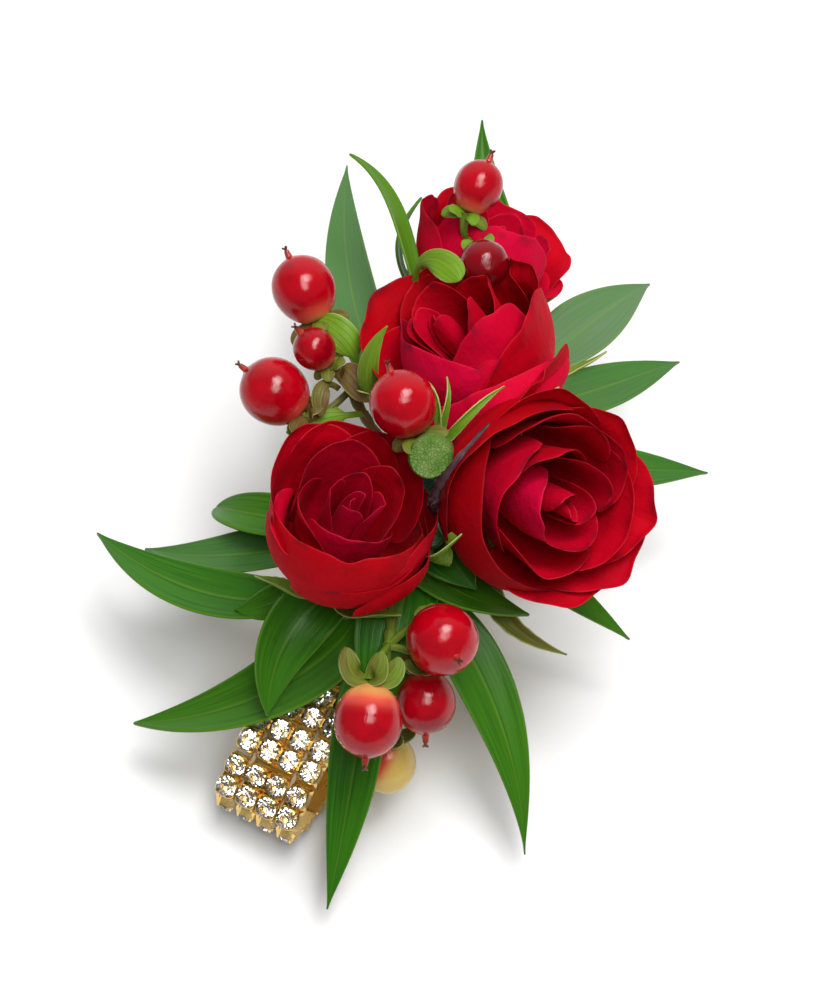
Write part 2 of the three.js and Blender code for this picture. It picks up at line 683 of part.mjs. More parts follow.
function berryMesh(sprig, berry) {
  const { base, turn } = berryPlace(sprig, berry);
  const piece = mesh(berry.name, berryBody(berry), berryRed());
  piece.position.copy(base);
  piece.quaternion.copy(turn);
  return piece;
}

// Room that each berry and sprig takes among the petals.
function berryRoom(sprig, berry) {
  const { base, turn } = berryPlace(sprig, berry);
  const matrix = new THREE.Matrix4().compose(base, turn, new THREE.Vector3(1, 1, 1));
  return berryBody(berry, PRESS_CLEARANCE).transform(matrix.elements);
}

function sprigRooms() {
  return SPRIGS.flatMap((sprig) => [
    sprigBody(sprig, PRESS_CLEARANCE),
    ...sprig.berries.map((berry) => berryRoom(sprig, berry)),
  ]);
}

// Blooms in the order in which they were pressed together: each yields to those before it.
function roseMeshes() {
  const pressed = sprigRooms();
  const pieces = [];
  for (const rose of ROSES) {
    const { matrix } = bloomPlace(rose);
    const bloom = pressed.reduce(
      (body, room) => body.subtract(room),
      bloomBody(rose).transform(matrix.elements),
    );
    pieces.push(mesh(`${rose.name}_bloom`, largestBody(bloom), petalRed()));
    pieces.push(mesh(`${rose.name}_calyx`, union([calyxBody(rose), ...sepals(rose)]), calyxGreen()));
    pressed.push(bloomRoom(rose).transform(matrix.elements));
  }
  return pieces;
}

// The pad with a socket for every stem that it gathers.
function stemPad() {
  const cuts = [
    ...ROSES.map((rose) => calyxBody(rose, SEAT_CLEARANCE)),
    ...SPRIGS.map((sprig) => sprigBody(sprig, SEAT_CLEARANCE)),
    ...LEAVES.map((leaf) => leafBody(leaf, SEAT_CLEARANCE)),
  ];
  const pad = cuts.reduce((body, cut) => body.subtract(cut), padBody());
  return mesh("stem_pad", largestBody(pad), floralTape());
}

const joints = closeLoop();
const assembly = new THREE.Group();
assembly.add(flowerPlate());
assembly.add(...bandLinks(joints));
assembly.add(elasticCord("elastic_cord_left", 1, joints));
assembly.add(elasticCord("elastic_cord_right", -1, joints));
assembly.add(stemPad());
assembly.add(...roseMeshes());
for (const sprig of SPRIGS) {
  assembly.add(mesh(sprig.name, sprigBody(sprig), calyxGreen()));
  assembly.add(...sprig.berries.map((berry) => berryMesh(sprig, berry)));
}
assembly.add(...LEAVES.map((leaf) => mesh(leaf.name, leafBody(leaf), leafGreen())));

// The origin is under the middle of the whole corsage, on the surface it stands on.
const corsage = new THREE.Group();
corsage.add(assembly);
const extent = new THREE.Box3().setFromObject(corsage, true);
const middle = extent.getCenter(new THREE.Vector3());
assembly.position.set(-middle.x, -middle.y, -extent.min.z);

export default corsage;
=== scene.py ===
import math
import random

import bpy
import numpy as np
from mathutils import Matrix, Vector


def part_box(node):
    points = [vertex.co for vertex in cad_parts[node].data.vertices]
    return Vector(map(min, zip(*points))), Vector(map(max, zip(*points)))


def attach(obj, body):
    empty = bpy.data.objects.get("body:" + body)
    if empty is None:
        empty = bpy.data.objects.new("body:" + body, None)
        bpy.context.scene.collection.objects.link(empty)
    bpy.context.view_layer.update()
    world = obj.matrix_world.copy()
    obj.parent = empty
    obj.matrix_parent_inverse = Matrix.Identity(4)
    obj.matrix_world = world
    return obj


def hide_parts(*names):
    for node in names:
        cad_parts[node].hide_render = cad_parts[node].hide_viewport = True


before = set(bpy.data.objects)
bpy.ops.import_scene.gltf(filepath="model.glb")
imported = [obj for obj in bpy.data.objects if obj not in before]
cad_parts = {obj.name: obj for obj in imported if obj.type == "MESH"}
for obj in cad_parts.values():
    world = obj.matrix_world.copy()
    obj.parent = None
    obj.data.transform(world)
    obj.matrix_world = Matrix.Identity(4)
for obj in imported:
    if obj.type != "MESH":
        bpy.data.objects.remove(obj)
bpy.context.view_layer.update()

# Flower plate
# The gold plate of the bracelet, stamped from sheet brass. Four prongs are folded up round the
# taped stems, and its two ends take the elastic cords of the band.
MM = 0.001
PLATE_SIZE, PLATE_EDGE, PLATE_CREASE = (29.7, 15.0, 2.0), 0.25, 40
PRONG_SIZE, PRONG_AT, PRONG_FOOT = (2.5, 0.8, 6.3), (10.0, 7.1), 0.2
PRONG_FOLD, PRONG_FOLD_AT, PRONG_TAPER = 0.7, 2.0, 0.35
GOLD, GOLD_DEEP = (0.93, 0.70, 0.30, 1), (0.70, 0.45, 0.13, 1)

# Middle of the plate's top face: every length in millimetres below is measured from it.
plate_low, plate_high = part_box("flower_plate")
plate_top = np.array((plate_low + plate_high) / 2)
plate_top[2] = plate_low.z + PLATE_SIZE[2] * MM


def deselect():
    if bpy.context.mode != "OBJECT":
        bpy.ops.object.mode_set(mode="OBJECT")
    bpy.ops.object.select_all(action="DESELECT")


def take(piece):
    """Makes a piece the only one that the next operator acts on."""
    deselect()
    piece.select_set(True)
    bpy.context.view_layer.objects.active = piece


def points_of(piece):
    return np.array([vertex.co for vertex in piece.data.vertices])


def move_points(piece, millimetres):
    """Puts a piece's points where they belong, given in millimetres from the plate's top face."""
    metres = plate_top + np.asarray(millimetres) * MM
    piece.data.vertices.foreach_set("co", metres.astype(np.float32).ravel())
    piece.data.update()


def finish_with(piece, kind, **settings):
    """Adds a modifier to a piece and applies it."""
    take(piece)
    modifier = piece.modifiers.new(kind.title(), kind)
    for key, value in settings.items():
        setattr(modifier, key, value)
    bpy.ops.object.modifier_apply(modifier=modifier.name)


def join(name, pieces):
    take(pieces[0])
    for piece in pieces:
        piece.select_set(True)
    if len(pieces) > 1:
        bpy.ops.object.join()
    joined = bpy.context.object
    joined.name = name
    return joined


def smooth(piece, degrees=None):
    take(piece)
    if degrees is None:
        bpy.ops.object.shade_smooth()
    else:
        bpy.ops.object.shade_smooth_by_angle(angle=math.radians(degrees))


def settle(piece, body, slot, material, *nodes):
    """The piece rides on its body, stands for its CAD nodes and gets its material."""
    if material is not None:
        piece.data.materials.clear()
        piece.data.materials.append(material)
    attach(piece, body)
    if nodes:
        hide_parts(*nodes)


def new_material(name):
    """An empty material: its node tree and its shader."""
    material = bpy.data.materials.new(name)
    material.use_nodes = True
    return material, material.node_tree, material.node_tree.nodes["Principled BSDF"]


def feed(tree, socket, value):
    """Links an input to another node's socket, or sets it to a value."""
    if isinstance(value, bpy.types.NodeSocket):
        tree.links.new(value, socket)
    else:
        socket.default_value = value


def set_inputs(tree, shader, **inputs):
    for key, value in inputs.items():
        feed(tree, shader.inputs[key.replace("_", " ")], value)


def add_node(tree, kind, inputs=None, **settings):
    """A shader node with its settings and its inputs."""
    node = tree.nodes.new("ShaderNode" + kind)
    for key, value in settings.items():
        setattr(node, key, value)
    for key, value in (inputs or {}).items():
        feed(tree, node.inputs[key], value)
    return node


def coords(tree, kind):
    return add_node(tree, "TexCoord").outputs[kind]


def noise(tree, place, scale, detail, result="Fac", **inputs):
    """Clouds of a scale, with finer and finer detail in them."""
    return add_node(tree, "TexNoise", {
        "Vector": place, "Scale": scale, "Detail": detail, **inputs,
    }).outputs[result]


def ramp(tree, value, low, high, to_low=0.0, to_high=1.0):
    """A value taken from one range to another, held at its ends."""
    return add_node(tree, "MapRange", {
        "Value": value, "From Min": low, "From Max": high, "To Min": to_low, "To Max": to_high,
    }).outputs["Result"]


def mix(tree, amount, first, second):
    """A colour between two colours."""
    return add_node(tree, "MixRGB", {
        "Fac": amount, "Color1": first, "Color2": second,
    }).outputs["Color"]


def bump(tree, height, strength, distance):
    """The normal of a relief."""
    return add_node(tree, "Bump", {
        "Height": height, "Strength": strength, "Distance": distance,
    }).outputs["Normal"]


def polished_gold():
    """Plated brass: bright, with faint clouds of tarnish and fine polishing marks."""
    material, tree, shader = new_material("polished_gold")
    place = coords(tree, "Object")
    clouds = noise(tree, place, 420.0, 4.0)
    marks = noise(tree, place, 5200.0, 2.0)
    set_inputs(tree, shader, Base_Color=mix(tree, clouds, GOLD_DEEP, GOLD), Metallic=1.0,
               Normal=bump(tree, marks, 0.12, 0.0001),
               Roughness=ramp(tree, clouds, 0.3, 0.7, 0.18, 0.34))
    return material


def cube(name):
    deselect()
    bpy.ops.mesh.primitive_cube_add(size=1)
    piece = bpy.context.object
    piece.name = name
    return piece


def block(name, size, middle):
    """A box of a size about a middle, in millimetres."""
    piece = cube(name)
    move_points(piece, points_of(piece) * np.array(size) + np.array(middle))
    return piece


gold = polished_gold()
plate_parts = [block("plate_sheet", PLATE_SIZE, (0, 0, -PLATE_SIZE[2] / 2))]
prong_height = PRONG_SIZE[2] / 2 - PLATE_SIZE[2] + PRONG_FOOT
for end in (-1, 1):
    for side in (-1, 1):
        middle = (end * PRONG_AT[0], side * PRONG_AT[1], prong_height)
        prong = block("plate_prong", PRONG_SIZE, middle)
        for vertex in prong.data.vertices:
            if vertex.co.z > plate_top[2] + PRONG_FOLD_AT * MM:
                vertex.co.y -= side * PRONG_FOLD * MM
                vertex.co.x += (end * PRONG_AT[0] * MM + plate_top[0] - vertex.co.x) * PRONG_TAPER
        plate_parts.append(prong)
plate = join("bracelet_plate", plate_parts)
finish_with(plate, "BEVEL", width=PLATE_EDGE * MM, segments=2)
smooth(plate, PLATE_CREASE)
settle(plate, "spray", "gold", gold, "flower_plate")

# Crystal links
# Each link is two columns of four squarish brass settings, plated and soldered to a strip. Four
# claws at the corners of every setting are pressed over a faceted, foil-backed glass crystal.

# Joints between the links, along and up, from one end of the plate round to the other
LOOP = [
    (15.0, -2.0), (22.31, -4.72), (26.15, -11.51), (24.62, -19.16), (18.52, -24.02),
    (10.74, -24.6), (2.94, -24.6), (-4.86, -24.6), (-12.66, -24.6), (-20.46, -24.6),
    (-28.26, -24.6), (-36.06, -24.6), (-43.86, -24.6), (-51.66, -24.6), (-57.94, -19.97),
    (-51.62, -15.39), (-44.3, -12.7), (-36.98, -10.02), (-29.65, -7.35), (-22.32, -4.67),
    (-15.0, -2.0),
]
STONE_PITCH, STONE_TILT = 3.75, 0.04
STRIP_SIZE, STRIP_EDGE = (7.4, 14.9, 0.7), 0.2
CUP_SIZE, CUP_LOW, CUP_HIGH, CUP_WALL, CUP_EDGE = 3.68, 0.5, 2.15, 0.3, 0.14
CUP_FLOOR, CUP_FLOOR_SHARE = 0.4, 0.3
CLAW_WIDTH, CLAW_TOP, CLAW_LEAN, CLAW_TAPER = 0.6, 2.85, 0.5, 0.6
GIRDLE_RADIUS, GIRDLE_AT, GIRDLE_DEPTH = 1.84, 2.35, 0.1
TABLE_RADIUS, CROWN_HEIGHT, PAVILION_DEPTH, CULET_SHARE = 1.0, 0.95, 1.4, 0.04
FACETS, FACET_CUT = 8, 0.42
FOIL, GLASS, GLASS_IOR = (0.84, 0.85, 0.87, 1), (0.93, 0.94, 0.96, 1), 1.62


def pick(piece, kind, wanted):
    """Goes into edit mode with only the wanted faces or edges selected."""
    take(piece)
    bpy.ops.object.mode_set(mode="EDIT")
    bpy.ops.mesh.select_mode(type=kind)
    bpy.ops.mesh.select_all(action="DESELECT")
    bpy.ops.object.mode_set(mode="OBJECT")
    for part in piece.data.polygons if kind == "FACE" else piece.data.edges:
        part.select = wanted(part)
    bpy.ops.object.mode_set(mode="EDIT")


def push_faces(rise, shrink=1.0):
    """Extrudes the selected faces up or down, and draws them in at the far end."""
    bpy.ops.mesh.extrude_region_move(TRANSFORM_OT_translate={"value": (0, 0, rise)})
    if shrink != 1.0:
        bpy.ops.transform.resize(value=(shrink, shrink, 1))


def cup_setting():
    """One cup about the origin, in millimetres: a round-cornered frame, its seat and four claws."""
    deselect()
    bpy.ops.mesh.primitive_cylinder_add(vertices=16, radius=1, depth=1)
    cup = bpy.context.object
    for vertex in cup.data.vertices:
        x, y, z = vertex.co
        half = CUP_SIZE / 2 / (x ** 4 + y ** 4) ** 0.25
        vertex.co = (x * half, y * half, CUP_HIGH if z > 0 else CUP_LOW)
    cup.data.update()
    finish_with(cup, "BEVEL", width=CUP_EDGE, segments=1)
    pick(cup, "FACE", lambda face: face.normal.z > 0.99)
    bpy.ops.mesh.inset(thickness=CUP_WALL - CUP_EDGE)
    push_faces(CUP_LOW + CUP_FLOOR - CUP_HIGH, CUP_FLOOR_SHARE)
    bpy.ops.object.mode_set(mode="OBJECT")
    parts = [cup]
    corner = STONE_PITCH / 2 - CLAW_WIDTH / 2
    for x in (-1, 1):
        for y in (-1, 1):
            claw = cube("claw")
            for vertex in claw.data.vertices:
                top = vertex.co.z > 0
                width = CLAW_WIDTH * (CLAW_TAPER if top else 1.0)
                reach = corner - (CLAW_LEAN if top else 0.0)
                vertex.co.x = x * reach + vertex.co.x * width
                vertex.co.y = y * reach + vertex.co.y * width
                vertex.co.z = CLAW_TOP if top else CUP_LOW
            parts.append(claw)
    return join("cup_setting", parts)


def brilliant():
    """One faceted crystal about the origin, in millimetres: table, crown, girdle and pavilion."""
    deselect()
    bpy.ops.mesh.primitive_cone_add(
        vertices=FACETS, radius1=GIRDLE_RADIUS, radius2=TABLE_RADIUS, depth=CROWN_HEIGHT,
        location=(0, 0, GIRDLE_AT + CROWN_HEIGHT / 2),
    )
    stone = bpy.context.object
    bpy.ops.object.transform_apply()
    heights = [vertex.co.z for vertex in stone.data.vertices]

    def slopes(edge):
        low, high = (heights[corner] for corner in edge.vertices)
        return abs(low - high) > CROWN_HEIGHT / 2
    pick(stone, "EDGE", slopes)
    bpy.ops.mesh.bevel(offset=FACET_CUT, segments=1, affect="EDGES")
    pick(stone, "FACE", lambda face: face.normal.z < -0.9)
    push_faces(-GIRDLE_DEPTH)
    push_faces(-PAVILION_DEPTH, CULET_SHARE)
    bpy.ops.object.mode_set(mode="OBJECT")
    for face in stone.data.polygons:
        face.material_index = int(face.center.z < GIRDLE_AT - GIRDLE_DEPTH)
    return stone


def copy_of(pattern, name):
    copy = bpy.data.objects.new(name, pattern.data.copy())
    bpy.context.collection.objects.link(copy)
    return copy


def repeat_stones(pattern, turned):
    """Copies a pattern to the eight places of a link; each crystal lies turned its own way."""
    copies = []
    for column in (-0.5, 0.5):
        for row in (-1.5, -0.5, 0.5, 1.5):
            copy = copy_of(pattern, pattern.name)
            turn = stone_draw.uniform(0, math.pi / 4) if turned else 0.0
            tilt = stone_draw.uniform(-STONE_TILT, STONE_TILT) if turned else 0.0
            for vertex in copy.data.vertices:
                x, y = vertex.co.x, vertex.co.y
                vertex.co.x = x * math.cos(turn) - y * math.sin(turn) + column * STONE_PITCH
                vertex.co.y = x * math.sin(turn) + y * math.cos(turn) + row * STONE_PITCH
                vertex.co.z += tilt * x
            copies.append(copy)
    return copies


def link_frame(index):
    """Middle of a link's inner face, the way along it and the way out of the loop, in XZ."""
    start, end = np.array(LOOP[index]), np.array(LOOP[index + 1])
    along = (end - start) / np.linalg.norm(end - start)
    return (start + end) / 2, along, np.array([-along[1], along[0]])


def set_in_loop(pattern, name, index):
    """A copy of a pattern of the flat link, set on its place in the loop."""
    piece = copy_of(pattern, name)
    middle, along, out = link_frame(index)
    flat = points_of(piece)
    across = middle + flat[:, :1] * along + flat[:, 2:] * out
    move_points(piece, np.column_stack([across[:, 0], flat[:, 1], across[:, 1]]))
    return piece


def clear_glass():
    material, tree, shader = new_material("crystal_glass")
    haze = noise(tree, coords(tree, "Object"), 900.0, 2.0)
    set_inputs(tree, shader, Base_Color=GLASS, Transmission_Weight=1.0, IOR=GLASS_IOR,
               Roughness=ramp(tree, haze, 0.45, 0.75, 0.0, 0.05))
    return material


def mirror_foil():
    material, tree, shader = new_material("mirror_foil")
    crinkle = noise(tree, coords(tree, "Object"), 1500.0, 3.0)
    set_inputs(tree, shader, Base_Color=FOIL, Metallic=1.0,
               Roughness=ramp(tree, crinkle, 0.3, 0.7, 0.02, 0.12))
    return material


stone_draw = random.Random(4)
foil = mirror_foil()
glass = clear_glass()
cup = cup_setting()
stone = brilliant()
strip = cube("strip")
for vertex in strip.data.vertices:
    x, y, z = (c * s for c, s in zip(vertex.co, STRIP_SIZE))
    vertex.co = (x, y, z + STRIP_SIZE[2] / 2)
finish_with(strip, "BEVEL", width=STRIP_EDGE, segments=1)
setting_pattern = join("setting_pattern", [*repeat_stones(cup, False), strip])
crystal_pattern = join("crystal_pattern", repeat_stones(stone, True))
for number in range(1, len(LOOP)):
    link = f"link_{number:02d}"
    setting = set_in_loop(setting_pattern, f"settings_{number:02d}", number - 1)
    settle(setting, link, "gold", gold, f"band_link_{number:02d}")
    crystals = set_in_loop(crystal_pattern, f"crystals_{number:02d}", number - 1)
    crystals.data.materials.append(glass)
    crystals.data.materials.append(foil)
    settle(crystals, link, "crystal", None)
for pattern in (cup, stone, setting_pattern, crystal_pattern):
    bpy.data.objects.remove(pattern)

# Elastic cords
# Two braided elastic cords run through every link under the cups and are anchored in the plate.
# Each link carries its own stretch of both, which reaches into its neighbours as the band opens.
CORD_RADIUS, CORD_OUT, CORD_SIDE, CORD_REACH = 0.35, 1.0, 3.75, 2.4
PLATE_REACH, PLATE_RISE = 5.0, 0.45
TUBE_WELD, TUBE_CREASE, CORD_GRID = 0.002, 60, (8, 16)
CORD_TINT, CORD_SHADE = (0.55, 0.47, 0.33, 1), (0.38, 0.31, 0.20, 1)


def lay_sheet(name, across, along, shape):
    """A flat grid laid where shape says, which is given -1 to 1 across and 0 to 1 along."""
    deselect()
    bpy.ops.mesh.primitive_grid_add(x_subdivisions=across, y_subdivisions=along, size=2)
    sheet = bpy.context.object
    sheet.name = name
    flat = points_of(sheet)
    move_points(sheet, shape(flat[:, 0], (flat[:, 1] + 1) / 2))
    return sheet


def section(tangent, roll=0.0, facing=(0.0, 0.0, 1.0)):
    """Side and top directions across a line along a tangent, rolled about it in degrees."""
    side = np.cross(np.array(facing), tangent)
    side /= np.maximum(np.linalg.norm(side, axis=1, keepdims=True), 1e-6)
    top = np.cross(tangent, side)
    c, s = math.cos(math.radians(roll)), math.sin(math.radians(roll))
    return side * c + top * s, top * c - side * s


def follow(line, share):
    """Points and tangents at shares of the length of a line of points."""
    line = np.asarray(line, float)
    steps = np.linalg.norm(np.diff(line, axis=0), axis=1)
    length = np.concatenate([[0], np.cumsum(steps)]) / steps.sum()
    at = np.column_stack([np.interp(share, length, line[:, k]) for k in range(3)])
    slopes = np.gradient(line, axis=0)
    tangent = np.column_stack([np.interp(share, length, slopes[:, k]) for k in range(3)])
    return at, tangent / np.linalg.norm(tangent, axis=1, keepdims=True)


def close_tube(piece, crease):
    """Joins the seam of a rolled sheet, closes its two ends and smooths all but its creases."""
    take(piece)
    bpy.ops.object.mode_set(mode="EDIT")
    bpy.ops.mesh.select_all(action="SELECT")
    bpy.ops.mesh.remove_doubles(threshold=TUBE_WELD * MM)
    bpy.ops.mesh.fill_holes(sides=0)
    bpy.ops.mesh.normals_make_consistent(inside=False)
    bpy.ops.object.mode_set(mode="OBJECT")
    smooth(piece, crease)
    return piece


def lay_tube(name, line, radius_at, sides, steps):
    """A closed round tube along a line of points, with its radius given along the way."""
    def shape(u, v):
        at, tangent = follow(line, v)
        side, top = section(tangent)
        ring = side * np.cos(math.pi * u)[:, None] + top * np.sin(math.pi * u)[:, None]
        return at + radius_at(v)[:, None] * ring
    return close_tube(lay_sheet(name, sides, steps, shape), TUBE_CREASE)


def elastic_cord():
    """Braided elastic: fine slanting threads across each cord."""
    material, tree, shader = new_material("elastic_cord")
    threads = add_node(tree, "TexWave", {
        "Vector": coords(tree, "UV"), "Scale": 9.0, "Distortion": 1.0, "Detail": 1.0,
    }, bands_direction="DIAGONAL").outputs["Fac"]
    set_inputs(tree, shader, Base_Color=mix(tree, threads, CORD_TINT, CORD_SHADE), Roughness=0.55,
               Normal=bump(tree, threads, 0.5, 0.0001))
    return material


def cord_line(index, side):
    """The stretch of a cord that a link carries, from inside one neighbour to inside the other."""
    corners = []
    out = link_frame(index)[2]
    for at, neighbour, turn in ((index, index - 1, -1), (index + 1, index + 1, 1)):
        joint = np.array(LOOP[at])
        if 0 <= neighbour < len(LOOP) - 1:
            middle, reach, climb = link_frame(neighbour)[0], CORD_REACH, 0.0
        else:
            middle, reach, climb = np.array([0.0, -PLATE_SIZE[2]]), PLATE_REACH, PLATE_RISE
        inward = (middle - joint) / np.linalg.norm(middle - joint)
        beside = np.array([-inward[1], inward[0]]) * turn
        bend = joint + CORD_OUT * (out + beside) / np.linalg.norm(out + beside)
        corners.append((bend, bend + inward * reach + np.array([0.0, climb])))
    (first, before), (last, after) = corners
    flat = [before, first, (first + last) / 2, last, after]
    return [(x, side * CORD_SIDE, z) for x, z in flat]


def cord_radius(v):
    return np.full(len(v), CORD_RADIUS)


cord = elastic_cord()
for number in range(1, len(LOOP)):
    stretches = [lay_tube("cord_stretch", cord_line(number - 1, side), cord_radius, *CORD_GRID)
                 for side in (-1, 1)]
    cords = join(f"cords_{number:02d}", stretches)
    settle(cords, f"link_{number:02d}", "elastic", cord, "elastic_cord_left", "elastic_cord_right")

# Stem pad
# The stems are gathered and wound with waxed green floral tape into one low pad, which the
# prongs hold. The turns of the tape overlap and show as slanting ridges.
PAD_HALF_LENGTH, PAD_HALF_WIDTH, PAD_HEIGHT = 27.0, 6.4, 6.6
PAD_END_SHARE, PAD_END_LIFT, PAD_CLEAR = 0.5, 4.2, 0.3
PAD_CLOSING, PAD_CREASE, PAD_GRID = 0.04, 50, (40, 120)
TAPE_PITCH, TAPE_RIDGE, TAPE_SLANT, TAPE_SINK = 4.5, 0.35, 1.6, 0.06
TAPE_GREEN, TAPE_TEAL = (0.05, 0.19, 0.09, 1), (0.03, 0.22, 0.20, 1)


def pad_section(x):
    """Half width, height and bottom of the pad at a place along it."""
    reach = np.minimum(1, np.abs(x) / PAD_HALF_LENGTH)
    share = 1 - (1 - PAD_END_SHARE) * reach ** 2
    return PAD_HALF_WIDTH * share, PAD_HEIGHT * share, PAD_CLEAR + PAD_END_LIFT * reach ** 2


def pad_shape(u, v):
    """A loaf with a flat bottom; each turn of tape stands a little over the next."""
    x = (2 * v - 1) * PAD_HALF_LENGTH
    half, height, bottom = pad_section(x)
    turn = math.pi * u
    y, z = np.cos(turn), np.maximum(np.sin(turn), 0.0)
    lap = ((x + TAPE_SLANT * turn) / TAPE_PITCH) % 1.0
    proud = 1 + TAPE_RIDGE * lap / PAD_HALF_WIDTH - TAPE_SINK
    closing = np.clip((1 - np.abs(2 * v - 1)) / PAD_CLOSING, 0, 1) ** 0.5
    return np.column_stack([x, half * y * proud * closing, bottom + height * z * proud * closing])


def floral_tape():
    """Crepe paper tape: fine crinkles across, waxy where it was pressed down."""
    material, tree, shader = new_material("floral_tape")
    place = coords(tree, "Object")
    crepe = add_node(tree, "TexWave", {
        "Vector": place, "Scale": 900.0, "Distortion": 6.0, "Detail": 3.0,
    }).outputs["Fac"]
    patches = noise(tree, place, 160.0, 3.0)
    set_inputs(tree, shader, Base_Color=mix(tree, patches, TAPE_GREEN, TAPE_TEAL),
               Normal=bump(tree, crepe, 0.5, 0.0002),
               Roughness=ramp(tree, patches, 0.3, 0.7, 0.5, 0.75))
    return material


pad = close_tube(lay_sheet("taped_pad", *PAD_GRID, pad_shape), PAD_CREASE)
settle(pad, "spray", "floral_tape", floral_tape(), "stem_pad")

# Rose stems and sepals
# Each spray rose keeps a short green stem that goes into the pad, a swollen hip, and a few
# toothed sepals with pale edges, which curl back under the bloom.
SOCKET_DEPTH = 3.0
ROSE_STEM, HIP, HIP_DROP, HIP_HALF, SEAT = 2.6, 5.6, 1.9, 4.2, 0.3
ROSE_MIDDLE, CALYX_GRID = 0.55, (14, 40)
ROSES = {
    "rose_right": dict(along=-1.0, clock=165, lead=(0, -2, 2), centre=(-6, -21.3, 22.5),
                       face=(-0.35, -0.64, 0.68), radius=17.2, height=24, heart=(3.0, -1.6)),
    "rose_front": dict(along=-19.0, clock=62, lead=(-1, 0, 1), centre=(-26.7, 1.4, 24.2),
                       face=(0.09, -0.24, 0.97), radius=13.6, height=23, heart=(0, 0)),
    "rose_middle": dict(along=8.0, clock=100, lead=(0.5, -1, 2), centre=(10.1, -1, 26.2),
                        face=(-0.07, 0.54, 0.84), radius=15.4, height=23, heart=(-3.6, 0.6)),
    "rose_far": dict(along=22.0, clock=50, lead=(2, 4, -1), centre=(33.1, 10.3, 14),
                     face=(0.58, -0.19, 0.79), radius=13.0, height=20, heart=(0, 0)),
}
# Four points of the curve that each sepal follows, and its width
SEPALS = {
    "rose_right": [
        ((-10.5, -6, 30), (-10.0, -9.0, 36.5), (-5.4, -9.6, 39), (0.3, -11.6, 37.4), 1.6),
        ((-10.5, -6, 30), (-8.0, -4.6, 37.5), (-6.6, -4.4, 39.6), (-4.6, 1.2, 37.6), 1.3),
        ((-10.5, -6, 30), (-7.4, -5.6, 37), (-6.4, -6.0, 39.4), (-3.2, -3.4, 38.4), 1.3),
        ((-18, -10, 12), (-24.2, -12.4, 18.4), (-22.2, -14.0, 24.9), (-17.1, -16.2, 26.0), 5.4),
        ((-3, -14, 11), (-18.3, -15.6, 5), (-20.5, -23.9, 2.4), (-18.1, -34.1, 1), 4.6),
        ((1, -13, 13), (4, -13, 28), (5.8, -15.7, 31.4), (8.5, -16.9, 30), 2.2),
    ],
    "rose_front": [
        ((-29, 2, 9.5), (-35.1, 2.2, 9.8), (-33.6, 8.7, 9.8), (-34, 13.6, 8.6), 4.6),
        ((-29, 1, 9.5), (-34.5, -1.8, 9), (-32, -5, 10), (-28.6, -10.1, 9), 6.0),
        ((-28, 4, 10.5), (-25, 9, 9), (-22, 13, 8), (-19, 15, 6), 2.8),
    ],
    "rose_middle": [
        ((10, -6, 15), (4, 4, 15), (0, 9, 17), (-3, 13, 21), 2.6),
        ((11, -7, 15), (18, -12, 15), (22, -15, 16), (25, -17, 18), 2.6),
        ((11, -7, 14), (12, -14, 12), (14, -18, 9), (15, -21, 6), 2.6),
    ],
    "rose_far": [
        ((26.7, 12.4, 4.5), (27, 18, 4), (28, 22, 6), (29, 24, 9), 2.4),
        ((26.7, 12, 4.5), (32, 4, 2), (36, 1, 2), (39, -1, 4), 2.4),
        ((26.7, 12, 4.5), (34, 18, 2), (39, 20, 2), (43, 20, 5), 2.4),
        ((26.7, 12, 4.5), (20, 14, 4), (18, 18, 5), (17, 21, 8), 2.4),
    ],
}
# How far the stems and the sepals have dried
STEM_DRY, SEPAL_ROLL = 0.1, 35
SEPAL_DRY = {
    "rose_right": (0.0, 0.0, 0.05, 0.05, 0.6, 0.3), "rose_front": (0.0, 0.2, 0.2),
    "rose_middle": (0.2, 0.2, 0.2), "rose_far": (0.2, 0.2, 0.2, 0.2),
}
# A spent rose was cut off here: its green hip shows its cut end between the berry and the roses
CUT_HIP = [(-16.5, -7.9, 37), (-12.5, -6.4, 32.8), (-7.2, -4.4, 27.1), (-4, -3, 7)]
CUT_HIP_RADII = [(0, 2.9), (0.02, 3.3), (0.06, 3.4), (0.25, 3.0), (0.4, 1.3), (1, 1.0)]
CUT_HIP_CREASE, CUT_HIP_GRID = 28, (24, 50)
HIP_GREEN, HIP_GREY = (0.09, 0.21, 0.02, 1), (0.19, 0.29, 0.07, 1)
HIP_PIT = (0.03, 0.08, 0.008, 1)
SEPAL_GREEN, SEPAL_BROWN = (0.14, 0.29, 0.012, 1), (0.14, 0.07, 0.025, 1)
SEPAL_EDGE, SEPAL_SHEET = (0.50, 0.50, 0.20, 1), 0.3
BLADE_LEAST, BLADE_TEETH, TOOTH_EDGE = 0.12, 75, 6
CHANNEL_POWER, CHANNEL_SINK, BLADE_WAVES, WAVE_SLANT = 1.6, 0.35, 9, 2


def curve(control, count=160):
    """Points along a Bezier curve."""
    t = np.linspace(0, 1, count)[:, None]
    rows = [np.asarray(point, float) * np.ones_like(t) for point in control]
    while len(rows) > 1:
        rows = [(1 - t) * a + t * b for a, b in zip(rows, rows[1:])]
    return rows[0]


def socket(along, clock):
    """Where a stem sits in the pad: its foot inside, and the point where it comes out."""
    half, height, bottom = pad_section(along)
    turn = math.radians(clock)
    out = np.array([0, math.cos(turn), math.sin(turn)])
    surface = np.array([along, half * out[1], bottom + height * out[2]])
    return surface - SOCKET_DEPTH * out, surface


def bloom_axis(rose):
    """Way that a bloom faces, and the middle of its base."""
    axis = np.array(rose["face"]) / np.linalg.norm(rose["face"])
    return axis, np.array(rose["centre"]) - ROSE_MIDDLE * rose["height"] * axis


